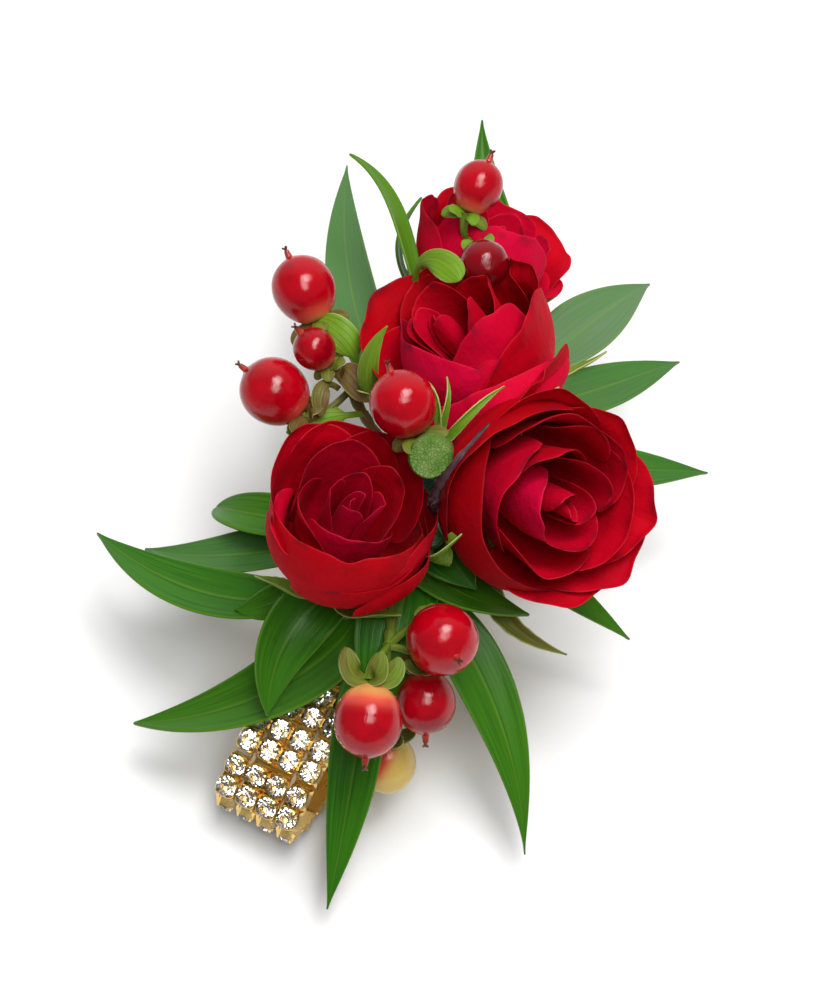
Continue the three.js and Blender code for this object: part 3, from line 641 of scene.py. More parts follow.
def calyx_tube(name, rose):
    foot, surface = socket(rose["along"], rose["clock"])
    axis, base = bloom_axis(rose)
    end = base - SEAT * axis
    line = curve([foot, surface + np.array(rose["lead"]), end - HIP * axis, end])
    length = np.linalg.norm(np.diff(line, axis=0), axis=1).sum()

    def radius(v):
        swell = np.maximum(0, 1 - np.abs((1 - v) * length - HIP_DROP) / HIP_HALF)
        return ROSE_STEM / 2 + (HIP - ROSE_STEM) / 2 * np.sqrt(swell)
    return lay_tube(name, line, radius, *CALYX_GRID)


def thicken(piece, sheet):
    """Gives a laid sheet its thickness and rounds it off."""
    finish_with(piece, "SOLIDIFY", thickness=sheet * MM, offset=0)
    finish_with(piece, "SUBSURF", levels=1, render_levels=1)
    smooth(piece)
    return piece


def lay_blade(name, line, width, stalk=0.8, start=0.0, rise=0.7, taper=1.15, roll=0.0, fold=0.25,
              wave=0.0, teeth=0.0, sheet=SEPAL_SHEET, grid=(8, 24), facing=(0.0, 0.0, 1.0)):
    """A leaf along a line: widest part way, pointed, channelled, and wavy or toothed."""
    widest = rise / (rise + taper)

    def shape(u, v):
        at, tangent = follow(line, v)
        side, top = section(tangent, roll, facing)
        blade = np.clip((v - start) / (1 - start), 0, 1)
        swell = (blade / widest) ** rise * ((1 - blade) / (1 - widest)) ** taper
        half = np.maximum(np.maximum(stalk / 2 * (1 - blade), width / 2 * swell), BLADE_LEAST)
        half = half * (1 + teeth * np.abs(u) ** TOOTH_EDGE * np.sin(blade * BLADE_TEETH))
        channel = fold * (np.abs(u) ** CHANNEL_POWER - CHANNEL_SINK)
        lift = half * (channel + wave * u * np.sin(BLADE_WAVES * v + WAVE_SLANT * u))
        return at + side * (u * half)[:, None] + top * lift[:, None]
    return thicken(lay_sheet(name, grid[0], grid[1], shape), sheet)


def mark(piece, name, values):
    """A number for each point of a piece, which its material reads."""
    values = np.broadcast_to(values, len(piece.data.vertices)).astype(np.float32)
    piece.data.attributes.new(name, "FLOAT", "POINT").data.foreach_set("value", values)


def marked(tree, name):
    """The number of that name that a piece's points carry."""
    return add_node(tree, "Attribute", attribute_name=name).outputs["Fac"]


def maths(tree, operation, *values, clamp=False):
    inputs = dict(enumerate(values))
    return add_node(tree, "Math", inputs, operation=operation, use_clamp=clamp).outputs[0]


def drawn_out(tree, place, across, along):
    """A place stretched for marks that run one way."""
    scale = (across, along, 1.0)
    return add_node(tree, "Mapping", {"Vector": place, "Scale": scale}).outputs["Vector"]


def veins_group():
    """Veins that run the length of a leaf: lines across its UV, a little uneven."""
    group = bpy.data.node_groups.new("leaf_veins", "ShaderNodeTree")
    for name, kind in (("UV", "Vector"), ("Count", "Float")):
        group.interface.new_socket(name, in_out="INPUT", socket_type="NodeSocket" + kind)
    for name in ("Vein", "Mottle", "Midrib", "Edge"):
        group.interface.new_socket(name, in_out="OUTPUT", socket_type="NodeSocketFloat")
    inside = group.nodes.new("NodeGroupInput").outputs
    mottle = noise(group, drawn_out(group, inside["UV"], 14.0, 2.2), 1.0, 4.0, Roughness=0.6)
    across = add_node(group, "SeparateXYZ", {"Vector": inside["UV"]}).outputs["X"]
    uneven = maths(group, "MULTIPLY_ADD", mottle, 0.05, across)
    line = maths(group, "PINGPONG", maths(group, "MULTIPLY", uneven, inside["Count"]), 1.0)
    apart = maths(group, "ABSOLUTE", maths(group, "SUBTRACT", across, 0.5))
    set_inputs(group, group.nodes.new("NodeGroupOutput"), Mottle=mottle,
               Vein=ramp(group, line, 0.0, 0.22, 1.0, 0.0),
               Midrib=ramp(group, apart, 0.008, 0.035, 1.0, 0.0),
               Edge=ramp(group, apart, 0.455, 0.495))
    return group


def veined(tree, count):
    """What the veins group gives in a material, on the piece's own UV."""
    inputs = {"UV": coords(tree, "UV"), "Count": count}
    return add_node(tree, "Group", inputs, node_tree=leaf_veins).outputs


def sepal_skin():
    """Dull green skin that dries brown, with pale edges; the mark dry says how far it has gone."""
    material, tree, shader = new_material("sepal_skin")
    veins = veined(tree, 12.0)
    spots = ramp(tree, veins["Mottle"], 0.35, 0.65, -0.3, 0.3)
    browned = maths(tree, "ADD", marked(tree, "dry"), spots, clamp=True)
    shade = mix(tree, browned, SEPAL_GREEN, SEPAL_BROWN)
    edged = mix(tree, maths(tree, "MULTIPLY", veins["Edge"], 0.7), shade, SEPAL_EDGE)
    set_inputs(tree, shader, Base_Color=edged, Normal=bump(tree, veins["Vein"], 0.5, 0.0002),
               Roughness=0.5, Specular_IOR_Level=0.22)
    return material


def cut_hip_skin():
    """The cut hip: dull green flesh clouded with grey, cracked and pricked with dark pits."""
    material, tree, shader = new_material("cut_hip_skin")
    place = coords(tree, "Object")
    cloud = noise(tree, place, 420.0, 5.0)
    grain = noise(tree, place, 2200.0, 3.0)
    shaken = mix(tree, 0.0006, place, noise(tree, place, 900.0, 3.0, "Color"))
    apart = add_node(tree, "TexVoronoi", {
        "Vector": shaken, "Scale": 1900.0,
    }, feature="DISTANCE_TO_EDGE").outputs["Distance"]
    crack = ramp(tree, apart, 0.0, 0.16, 0.5, 0.0)
    flesh = mix(tree, ramp(tree, cloud, 0.35, 0.65), HIP_GREEN, HIP_GREY)
    cracked = mix(tree, crack, flesh, HIP_PIT)
    pitted = mix(tree, ramp(tree, grain, 0.6, 0.72, 0.0, 0.7), cracked, HIP_PIT)
    relief = bump(tree, maths(tree, "SUBTRACT", grain, crack), 0.6, 0.0003)
    set_inputs(tree, shader, Base_Color=pitted, Normal=relief, Roughness=0.6,
               Specular_IOR_Level=0.25)
    return material


leaf_veins = veins_group()
sepal_green = sepal_skin()
for name, rose in ROSES.items():
    stem = calyx_tube("calyx_stem", rose)
    mark(stem, "dry", STEM_DRY)
    greens = [stem]
    for number, (*control, width) in enumerate(SEPALS[name]):
        sepal = lay_blade("calyx_sepal", curve(control), width, stalk=1.2, rise=0.5, taper=1.0,
                          roll=SEPAL_ROLL * (-1) ** number, fold=0.5, wave=0.2, teeth=0.12,
                          grid=(6, 26))
        mark(sepal, "dry", SEPAL_DRY[name][number])
        greens.append(sepal)
    settle(join(name + "_greens", greens), "spray", "rose_green", sepal_green, name + "_calyx")
spots, radii = zip(*CUT_HIP_RADII)
hip = lay_tube("cut_rose_hip", curve(CUT_HIP), lambda v: np.interp(v, spots, radii), *CUT_HIP_GRID)
smooth(hip, CUT_HIP_CREASE)
settle(hip, "spray", "rose_green", cut_hip_skin())

# Hypericum
# Three sprigs of hypericum with woody stems, stuck into the pad. Every glossy berry stands on a
# stalk with five sepals and keeps dry styles at its tip; it ripens from yellow to pink to red.
SPRIG_STEM, STALK, STALK_BEND, BERRY_CUP = 1.8, 1.2, 2.4, 3.4
SPRIGS = {
    "left": dict(along=-3.0, clock=45, lead=(-1, 4, 4), fork=(0, 16, 14.5), dry=0.75),
    "far": dict(along=15.0, clock=80, lead=(3, 1, 6), fork=(29.5, 11.5, 23.5), dry=0.1),
    "front": dict(along=-21.0, clock=150, lead=(-3, -3, 1), fork=(-33.5, -10.5, 7), dry=0.4),
}
# Sprig, middle, length, width and how far the pale base reaches
BERRIES = {
    "berry_left_top": ("left", (8.6, 29.5, 22), 11.4, 10.2, 0.14),
    "berry_left_small": ("left", (0.3, 22.6, 21), 7.2, 6.8, 0.18),
    "berry_left_low": ("left", (-7.1, 25.7, 16), 11.6, 10.8, 0.06),
    "berry_centre": ("left", (-10.6, 0, 38), 10.6, 10.2, 0.06),
    "berry_far_top": ("far", (35, 12.6, 30), 9, 7.8, 0.15),
    "berry_far_low": ("far", (22.4, 4.4, 30.5), 8, 7.8, 0.0),
    "berry_front_right": ("front", (-31.5, -18.9, 14), 11.4, 11.2, 0.05),
    "berry_front_left": ("front", (-46.5, -14.5, 8), 11.8, 10.6, 0.28),
    "berry_front_middle": ("front", (-37.3, -19.4, 3), 10.2, 9.4, 0.06),
    "berry_front_pale": ("front", (-42.3, -15.3, -14), 10.4, 9.2, 0.85),
}
# The way a berry's tip points where it hangs off the line of its stalk
BERRY_TIPS = {
    "berry_left_low": (0.05, 0.95, 0.3), "berry_centre": (0.4, 0.63, 0.66),
    "berry_far_top": (0.88, 0.07, 0.46), "berry_front_right": (-0.5, -0.71, 0.49),
    "berry_front_left": (-0.78, -0.37, -0.4), "berry_front_middle": (-0.75, -0.43, -0.5),
}
# Length of a berry's sepals against the others, the least that they are bent back, and how much
# drier they are
HABIT = {"berry_front_left": (1.3, 0.85, 0.3), "berry_front_right": (0.55, 0.8, 0.0)}
PLAIN_HABIT = (1.0, 0.1, 0.0)
# Berries whose stalk starts in the pad, that cracked, that lost their styles, and that are riper
FROM_PAD, CRACKED = ("berry_centre",), ("berry_far_low",)
BARE = ("berry_far_low", "berry_front_pale")
RIPE = {"berry_far_low": 0.9, "berry_front_middle": 0.35, "berry_left_small": 0.3}
BERRY_SEPALS, SEPAL_ROOT, SEPAL_SINK, SEPAL_STRAY = 5, 0.5, 0.3, 0.3
SEPAL_LONG, SEPAL_WIDE, DRY_SPREAD = (0.38, 0.58), (0.24, 0.36), 0.35
BACK_RANGE, BOW_OUT, BOW_UP, BACK_IN, BACK_DOWN = 0.6, 0.55, 0.1, 0.45, 0.7
SEAMS, SEAM_STEP, SEAM_WIDTH, SEAM_DEPTH, PALE_SEAM_DEPTH = 3, 2.0944, 0.09, 0.035, 0.10
EGG_TAPER, DIMPLE_DEPTH, DIMPLE_WIDTH, TIP_RISE, TIP_WIDTH = 0.05, 0.5, 0.18, 0.35, 0.12
STYLES, STYLE_LENGTH, STYLE_RADIUS, STYLE_STEP = 3, 1.8, 0.55, 2.1
BEAK_ROOT, BEAK_SHARE, STYLE_ROOT = 0.4, 0.7, 0.6
BEAK_GRID, STYLE_GRID, SPRIG_GRID, STALK_GRID = (8, 4), (6, 5), (10, 30), (10, 24)
KNOT_DEPTH, KNOT_RATE, STALK_FLARE, BERRY_ROOM = 0.12, 40, 8, 0.5
# From where a berry counts as unripe and as seamed, and how its blush and its pale base fade
UNRIPE, SEAMED, CRACK_DRY = 0.5, 0.25, 1.4
BLUSH_MOST, BLUSH_FROM, BLUSH_SPAN = 0.72, 0.15, 0.5
PALE_FADE, PALE_LEAST, PALE_SHADE = 0.3, 0.35, 0.2
BERRY_RED, BERRY_DARK = (0.44, 0.0006, 0.008, 1), (0.19, 0.0006, 0.005, 1)
BERRY_PINK, BERRY_YELLOW = (0.72, 0.10, 0.06, 1), (0.66, 0.45, 0.11, 1)
STYLE_BROWN = (0.10, 0.02, 0.012, 1)
# Side on which a berry that is still pale has begun to blush
SUN_SIDE = np.array([-0.25, 0.75, 0.6])


def ease(x):
    x = np.clip(x, 0, 1)
    return x * x * (3 - 2 * x)


def upright_to(axis):
    """The shortest turn that takes Z to an axis, as a matrix."""
    return np.array(Vector((0, 0, 1)).rotation_difference(Vector(axis)).to_matrix())


def berry_place(name):
    """Way that a berry points, the middle of its base, and where its stalk starts."""
    sprig, middle, length = SPRIGS[BERRIES[name][0]], np.array(BERRIES[name][1]), BERRIES[name][2]
    foot, surface = socket(sprig["along"], sprig["clock"])
    start = surface if name in FROM_PAD else np.array(sprig["fork"], float)
    axis = np.array(BERRY_TIPS[name]) if name in BERRY_TIPS else middle - start
    axis = axis / np.linalg.norm(axis)
    return axis, middle - axis * length / 2, foot if name in FROM_PAD else start


def berry_styles(axis, tip, stand, first):
    """The dry beak of a berry and the three styles that spread from it."""
    beak = [tip - axis * BEAK_ROOT, tip + axis * STYLE_LENGTH * BEAK_SHARE]
    parts = [lay_tube("berry_beak", beak, lambda v: STYLE_RADIUS * (1.25 - 0.5 * v), *BEAK_GRID)]
    start = tip + axis * STYLE_LENGTH * STYLE_ROOT
    for k in range(STYLES):
        turn = first + k * STYLE_STEP
        lean = stand @ np.array([math.cos(turn), math.sin(turn), 0])
        line = curve([start, start + axis * 0.5, start + axis * 0.8 + lean * 0.5])
        parts.append(lay_tube("berry_style", line, lambda v: 0.24 - 0.08 * v, *STYLE_GRID))
    for k, part in enumerate(parts):
        height = ((points_of(part) - plate_top) / MM - tip) @ axis / STYLE_LENGTH
        mark(part, "pale", 0.25 if k == 0 else 0.0)
        mark(part, "dry", np.clip(0.1 + height, 0.1, 0.8) if k == 0 else 1.0)
        mark(part, "ripe", 0.0)
    return parts


def berry_body(name):
    """An egg-shaped berry with three faint seams, a dimpled base and a short beak of dry styles."""
    axis, base, _ = berry_place(name)
    length, width, pale = BERRIES[name][2:]
    first = random.Random(name).uniform(0, 2 * math.pi)
    stand = upright_to(axis)
    deselect()
    bpy.ops.mesh.primitive_uv_sphere_add(segments=36, ring_count=22)
    fruit = bpy.context.object
    x, y, z = points_of(fruit).T
    around, ring = np.arctan2(y, x), np.hypot(x, y)
    seam = sum(np.exp(-(np.angle(np.exp(1j * (around - first - k * SEAM_STEP))) / SEAM_WIDTH) ** 2)
               for k in range(SEAMS))
    depth = SEAM_DEPTH + PALE_SEAM_DEPTH * np.maximum(0, -z) ** 3 * (pale > SEAMED)
    swell = width / 2 * (1 + EGG_TAPER * z) * (1 - depth * seam * ring ** 0.4)
    dimple = DIMPLE_DEPTH * np.exp(-(ring / DIMPLE_WIDTH) ** 2) * (z < 0)
    point = TIP_RISE * np.exp(-(ring / TIP_WIDTH) ** 2) * (z > 0)
    lift = length / 2 * (1 + z) + dimple + point
    move_points(fruit, base + np.column_stack([x * swell, y * swell, lift]) @ stand.T)
    sunny = np.column_stack([x, y, z]) @ stand.T @ SUN_SIDE
    if pale > UNRIPE:
        mark(fruit, "pale", 1 - BLUSH_MOST * ease((sunny - BLUSH_FROM) / BLUSH_SPAN))
    else:
        blush = (pale - (1 + z) / 2) / PALE_FADE + PALE_LEAST - PALE_SHADE * pale * sunny
        mark(fruit, "pale", np.clip(blush, 0, 0.8) * (pale > 0))
    crack = seam * np.exp(-((1 - z) / TIP_WIDTH) ** 2) * (name in CRACKED)
    mark(fruit, "dry", np.clip(crack * CRACK_DRY, 0, 0.9))
    mark(fruit, "ripe", RIPE.get(name, 0.0))
    smooth(fruit)
    styles = [] if name in BARE else berry_styles(axis, base + axis * length, stand, first)
    return join(name + "_fruit", [fruit, *styles])


def berry_skin():
    """Waxy glossy skin: red with darker clouds, pink and yellow at the base; dry brown styles."""
    material, tree, shader = new_material("berry_skin")
    pale = marked(tree, "pale")
    streaks = drawn_out(tree, coords(tree, "UV"), 70.0, 6.0)
    fine = noise(tree, streaks, 1.0, 4.0, Roughness=0.7)
    clouded = ramp(tree, noise(tree, coords(tree, "Object"), 220.0, 3.0), 0.4, 0.75, 0.0, 0.6)
    darker = maths(tree, "ADD", clouded, marked(tree, "ripe"), clamp=True)
    red = mix(tree, darker, BERRY_RED, BERRY_DARK)
    pinked = mix(tree, ramp(tree, pale, 0.0, 0.55), red, BERRY_PINK)
    yellowed = mix(tree, ramp(tree, pale, 0.5, 1.0), pinked, BERRY_YELLOW)
    set_inputs(tree, shader, Base_Color=mix(tree, marked(tree, "dry"), yellowed, STYLE_BROWN),
               Normal=bump(tree, fine, 0.14, 0.0003), Specular_IOR_Level=0.36,
               Roughness=ramp(tree, fine, 0.4, 0.6, 0.04, 0.16))
    return material


def berry_sepals(name):
    """Small oval sepals at the base of a berry, bent back along its stalk."""
    axis, base, _ = berry_place(name)
    sprig, width = SPRIGS[BERRIES[name][0]], BERRIES[name][3]
    draw = random.Random(name + "_sepals")
    longer, bent, drier = HABIT.get(name, PLAIN_HABIT)
    stand = upright_to(axis)
    sepals = []
    for k in range(BERRY_SEPALS):
        turn = 2 * math.pi * k / BERRY_SEPALS + draw.uniform(-SEPAL_STRAY, SEPAL_STRAY)
        out = stand @ np.array([math.cos(turn), math.sin(turn), 0])
        long = draw.uniform(*SEPAL_LONG) * width * longer
        back = draw.uniform(bent, bent + BACK_RANGE * (1 - bent))
        root = base - axis * SEPAL_SINK + out * SEPAL_ROOT
        middle = root + out * long * BOW_OUT + axis * BOW_UP * long
        tip = root + out * long * (1 - BACK_IN * back) - axis * long * back * BACK_DOWN
        line, wide = curve([root, middle, tip]), draw.uniform(*SEPAL_WIDE) * width
        sepal = lay_blade("berry_sepal", line, wide, stalk=1.4, rise=0.45, taper=0.55, fold=-0.25,
                          wave=0.15, grid=(6, 10))
        dry = sprig["dry"] + drier + draw.uniform(-DRY_SPREAD, DRY_SPREAD)
        mark(sepal, "dry", np.clip(dry, 0, 1))
        sepals.append(sepal)
    return sepals


def knotty_stem(v):
    return SPRIG_STEM / 2 * (1 - KNOT_DEPTH * np.cos(v * KNOT_RATE))


def flared_stalk(v):
    return STALK / 2 + (BERRY_CUP - STALK) / 2 * v ** STALK_FLARE


def sprig_stems(sprig, berries):
    """The stem of a sprig and the stalks of its berries, all as dry as the sprig is."""
    foot, surface = socket(sprig["along"], sprig["clock"])
    line = curve([foot, surface + np.array(sprig["lead"]), sprig["fork"]])
    parts = [lay_tube("sprig_stem", line, knotty_stem, *SPRIG_GRID)]
    for name in berries:
        axis, base, start = berry_place(name)
        end = base - SEAT * axis
        line = curve([start, end - STALK_BEND * axis, end])
        parts.append(lay_tube("berry_stalk", line, flared_stalk, *STALK_GRID))
    for part in parts:
        mark(part, "dry", sprig["dry"])
    return parts


berry_gloss = berry_skin()
for key, sprig in SPRIGS.items():
    berries = [name for name, berry in BERRIES.items() if berry[0] == key]
    greens = sprig_stems(sprig, berries)
    for name in berries:
        greens += berry_sepals(name)
    settle(join("hypericum_sprig_" + key, greens), "spray", "hypericum_green", sepal_green,
           "hypericum_stem_" + key)
# Round rooms that the berries take, and later the finished blooms: petals press aside from them
rooms = []
for name, (_, _, length, width, _) in BERRIES.items():
    settle(berry_body(name), "spray", "berry_skin", berry_gloss, name)
    axis, base, _ = berry_place(name)

    def berry_reach(rise, width=width):
        return (width / 2 + BERRY_ROOM) * np.sqrt(np.maximum(0, 1 - (2 * rise - 1) ** 2))
    rooms.append((base - axis * BERRY_ROOM, axis, length + 2 * BERRY_ROOM, berry_reach))

# Rose blooms
# Four open spray roses of velvety red petals, set in a spiral: cupped round the heart, the outer
# ones wide, with lips that roll out to a small point. Each bloom sits on the hip of its stem.
PETAL_BASE, PETAL_SHEET = 2.4, 0.15
WIDE_PETAL, WIDE_GRID, NARROW_GRID = 135, (30, 20), (22, 20)
PETAL_SHOULDER, PETAL_WAIST, PETAL_CUP = 0.28, 0.4, 0.6
ROLL_FROM, ROLL_POWER = 0.66, 1.6
POINT_WIDTH, POINT_FROM = 0.13, 0.8
WAIST_END, FOOT_SHARE, PETAL_SKEW, CORNER_ROLL = 0.55, 0.7, 0.05, 0.5
LIP_DROOP, POINT_DROOP = 0.5, 0.25
# How deep a petal flutters, ripples and frills, the rates of its two waves and the second's share
FLUTTER, FLUTTER_WAVES = 0.03, (2.6, 5.5, 0.6)
RIPPLE, RIPPLE_WAVES = 0.02, (3.3, 7.1, 0.6)
FRILL, FRILL_WAVES, FRILL_FROM = 0.006, (13, 22, 0.7), 0.6
# Ranges from which each petal draws how square its shoulders are, how far it leans, how far its lip
# turns to one side, and where and how sharply it is creased, if it is not of the heart
SQUARE, LEAN, LIP_TURN, CREASE_AT, CREASE = (1.7, 3.4), 0.12, 0.6, 0.35, (0.06, 0.17)
CREASE_FROM, CREASE_HALF, HEART_REACH = 0.3, 0.45, 0.25
ROOM_SHARE, ROOM_SOFTNESS = 0.8, 0.06
# The deep red is the petals' own deep tone and also the painted shade toward their bases
PETAL_DEEP_AND_SHADE, PETAL_RED = (0.31, 0.0003, 0.003, 1), (0.54, 0.0006, 0.008, 1)
# The pink is partly painted light on brighter petals; the dark is painted shade
PETAL_PINK_AND_LIGHT, PETAL_PAINTED_SHADE = (0.64, 0.002, 0.045, 1), (0.15, 0.0002, 0.002, 1)
# The rim colour is painted light where thin petal edges let light through
PETAL_RIM_GLOW, PETAL_DRIED = (0.60, 0.09, 0.10, 1), (0.11, 0.006, 0.016, 1)
PETAL_SHEEN = (1.0, 0.06, 0.1, 1)
# Way to the photo's right, from which the petals' places round a bloom are counted
PHOTO_RIGHT = np.array([0.5, -0.8660, 0.0])
# Every petal from the outside in: where it stands round the bloom and how wide it is in degrees,
# then in hundredths the shares of the bloom's radius and height at its rim, its lip, its belly, its
# point and how pink it is, in part painted light, or how dark with painted shade below nought
PETALS = {
    "rose_right": [
        (86, 104, 95, 78, 10, 0, 3, 10), (46, 96, 93, 80, 12, 0, 5, 5),
        (345, 96, 96, 80, 12, 0, 8, 10), (312, 88, 102, 78, 12, 0, 7, 15),
        (282, 100, 100, 76, 12, 0, 3, 10), (202, 160, 74, 84, 0, 22, 2, -55),
        (133, 136, 90, 84, 5, 14, 2, -30), (81, 112, 76, 88, 8, 2, 3, 15),
        (35, 110, 70, 88, 6, 2, 2, 20), (332, 150, 72, 90, 6, 2, 4, 15),
        (253, 110, 60, 90, 4, 6, 2, 15), (165, 130, 59, 94, 2, 6, 2, 35),
        (92, 120, 50, 96, 4, 2, 2, 20), (40, 120, 42, 96, 4, 2, 1, 25),
        (291, 130, 39, 95, 2, 2, 2, 30), (178, 150, 32, 100, 0, 5, 2, 95),
        (338, 170, 18, 95, 0, 0, 0, 35), (100, 180, 15, 94, 0, 0, 0, 40),
        (210, 300, 7, 92, 0, 0, 0, 40),
    ],
    "rose_front": [
        (193, 92, 88, 72, 16, 0, 2, 40), (137, 116, 100, 90, 8, 0, 2, 10),
        (98, 100, 100, 92, 6, 0, 2, 10), (49, 112, 91, 92, 6, 0, 3, 10),
        (352, 110, 88, 82, 3, 22, 2, 10), (308, 154, 88.5, 66, 0, 8, 2, -10),
        (264, 176, 72, 92, 5, 28, 8, -5), (187, 120, 61, 92, 6, 3, 2, 20),
        (114, 124, 68, 97, 4, 2, 2, 35), (17, 120, 53, 97, 4, 3, 2, 15),
        (276, 156, 50, 95, 0, 7, 0, 60), (165, 140, 30, 98, 2, 2, 2, 45),
        (73, 140, 27, 99, 2, 2, 2, 50), (350, 140, 29, 99, 2, 2, 2, 70),
        (240, 170, 18, 96, 0, 0, 0, 100), (60, 200, 11, 95, 0, 0, 0, 100),
        (180, 300, 5, 93, 0, 0, 0, 100), (334, 104, 93, 62, 0, 17, 2, -5),
    ],
    "rose_middle": [
        (143, 88, 112, 94, 10, 0, 3, -25), (310, 60, 122, 62, 14, 0, 8, 15),
        (30, 100, 95, 76, 12, 0, 3, 5), (80, 100, 90, 82, 10, 0, 3, -15),
        (118, 84, 95, 87, 8, 0, 3, -35), (172, 100, 94, 84, 4, 6, 2, 10),
        (262, 150, 86, 66, 0, 24, 2, 60), (297, 96, 62, 76, 0, 24, 2, 45),
        (222, 150, 44, 102, 0, 32, 2, 80), (325, 100, 92, 85, 6, 4, 4, 10),
        (35, 130, 55, 93, 2, 0, 6, 5), (305, 112, 60, 99, 2, 14, 2, 50),
        (106, 110, 45, 97, 2, 2, 1, 10), (10, 130, 36, 94, 2, 2, 1, 20),
        (190, 140, 30, 98, 2, 2, 1, 25), (148, 180, 20, 98, 0, 0, 0, 35),
        (330, 200, 13, 97, 0, 0, 0, 35), (60, 300, 6, 95, 0, 0, 0, 35),
    ],
    "rose_far": [
        (187, 80, 100, 85, 5, 0, 2, 40), (37, 80, 120, 76, 14, 0, 3, 10),
        (351, 84, 105, 60, 12, 0, 3, 40), (110, 100, 92, 80, 10, 0, 3, 10),
        (278, 120, 55, 106, 0, 24, 2, 75), (240, 104, 64, 98, 0, 20, 2, 65),
        (70, 110, 72, 88, 6, 2, 2, 45), (150, 110, 70, 90, 5, 2, 2, 45),
        (10, 110, 70, 85, 6, 3, 2, 50), (215, 120, 60, 90, 4, 4, 2, 55),
        (290, 120, 56, 90, 4, 4, 2, 55), (40, 140, 40, 88, 2, 2, 1, 45),
        (160, 140, 38, 88, 2, 2, 1, 45), (280, 140, 38, 86, 2, 2, 1, 45),
        (239, 180, 20, 84, 0, 0, 0, 50), (60, 200, 13, 83, 0, 0, 0, 50),
        (150, 300, 6, 81, 0, 0, 0, 50),
    ],
}


def two_waves(u, waves, first, second):
    """Two waves across a petal, each from its own start."""
    slow, quick, share = waves
    return np.sin(slow * u + first) + share * np.sin(quick * u + second)


def petal_points(u, v, rose, petal, draw):
    """Points of one petal about the bloom's own axis: how far out, how far round and how high."""
    turn, span, reach, rise, lip, belly, point, _ = petal
    radius, height = rose["radius"], rose["height"]
    waves = [draw.uniform(0, 2 * math.pi) for _ in range(4)]
    peak, lean = draw.uniform(*SQUARE), draw.uniform(-LEAN, LEAN)
    side, corner = draw.uniform(-LIP_TURN, LIP_TURN), draw.uniform(-CREASE_AT, CREASE_AT)
    sharp = draw.uniform(*CREASE) * (reach > HEART_REACH)
    share = np.clip(v * (1 - PETAL_SHOULDER * np.abs(u) ** peak) * (1 + lean * u * v), 0, 1.1)
    rolled = ease((share - ROLL_FROM) / (1 - ROLL_FROM))
    spread = PETAL_WAIST + (1 - PETAL_WAIST) * ease(share / WAIST_END)
    around = math.radians(turn) + u * math.radians(span / 2) * spread
    foot = min(PETAL_BASE, FOOT_SHARE * reach * radius)
    out = foot + ((reach - lip) * radius - foot) * np.sin(math.pi / 2 * share ** PETAL_CUP)
    cupped = belly * np.sin(math.pi * share)
    out = out + radius * (cupped + lip * (1 + side * u) * rolled ** ROLL_POWER)
    tip = np.exp(-(u / POINT_WIDTH) ** 2) * ease((v - POINT_FROM) / (1 - POINT_FROM))
    corners = CORNER_ROLL * lip * np.abs(u) ** 5 * share ** 2
    out = out + radius * (point * tip + PETAL_SKEW * u * share + corners)
    flutter = two_waves(u, FLUTTER_WAVES, waves[0], waves[1])
    out = out + FLUTTER * reach * radius * share ** 2 * flutter
    creased = ease((share - CREASE_FROM) / (1 - CREASE_FROM))
    out = out + sharp * reach * radius * creased * (CREASE_HALF - np.abs(u - corner))
    droop = LIP_DROOP * lip + POINT_DROOP * point
    lift = height * ((rise + droop) * share - droop * rolled ** 2)
    ripple = two_waves(u, RIPPLE_WAVES, waves[2], waves[3])
    lift = lift + RIPPLE * height * share ** 3 * ripple
    frill = two_waves(u, FRILL_WAVES, waves[1], waves[0])
    frilled = ease((share - FRILL_FROM) / (1 - FRILL_FROM))
    lift = lift + FRILL * height * min(1, 2 * reach) * frilled * frill
    return out, around, lift


def press_aside(points):
    """Pushes points out of the rooms that neighbours take, keeping their order."""
    for base, axis, height, reach in rooms:
        apart = points - base
        along = apart @ axis
        radial = apart - along[:, None] * axis
        far = np.maximum(np.linalg.norm(radial, axis=1), 1e-6)
        limit = reach(np.clip(along / height, 0, 1))
        inside = (along > 0) & (along < height) & (far < limit)
        pushed = limit - ROOM_SOFTNESS * (limit - far)
        scale = np.where(inside, pushed / far, 1.0)
        points = base + along[:, None] * axis + radial * scale[:, None]
    return points


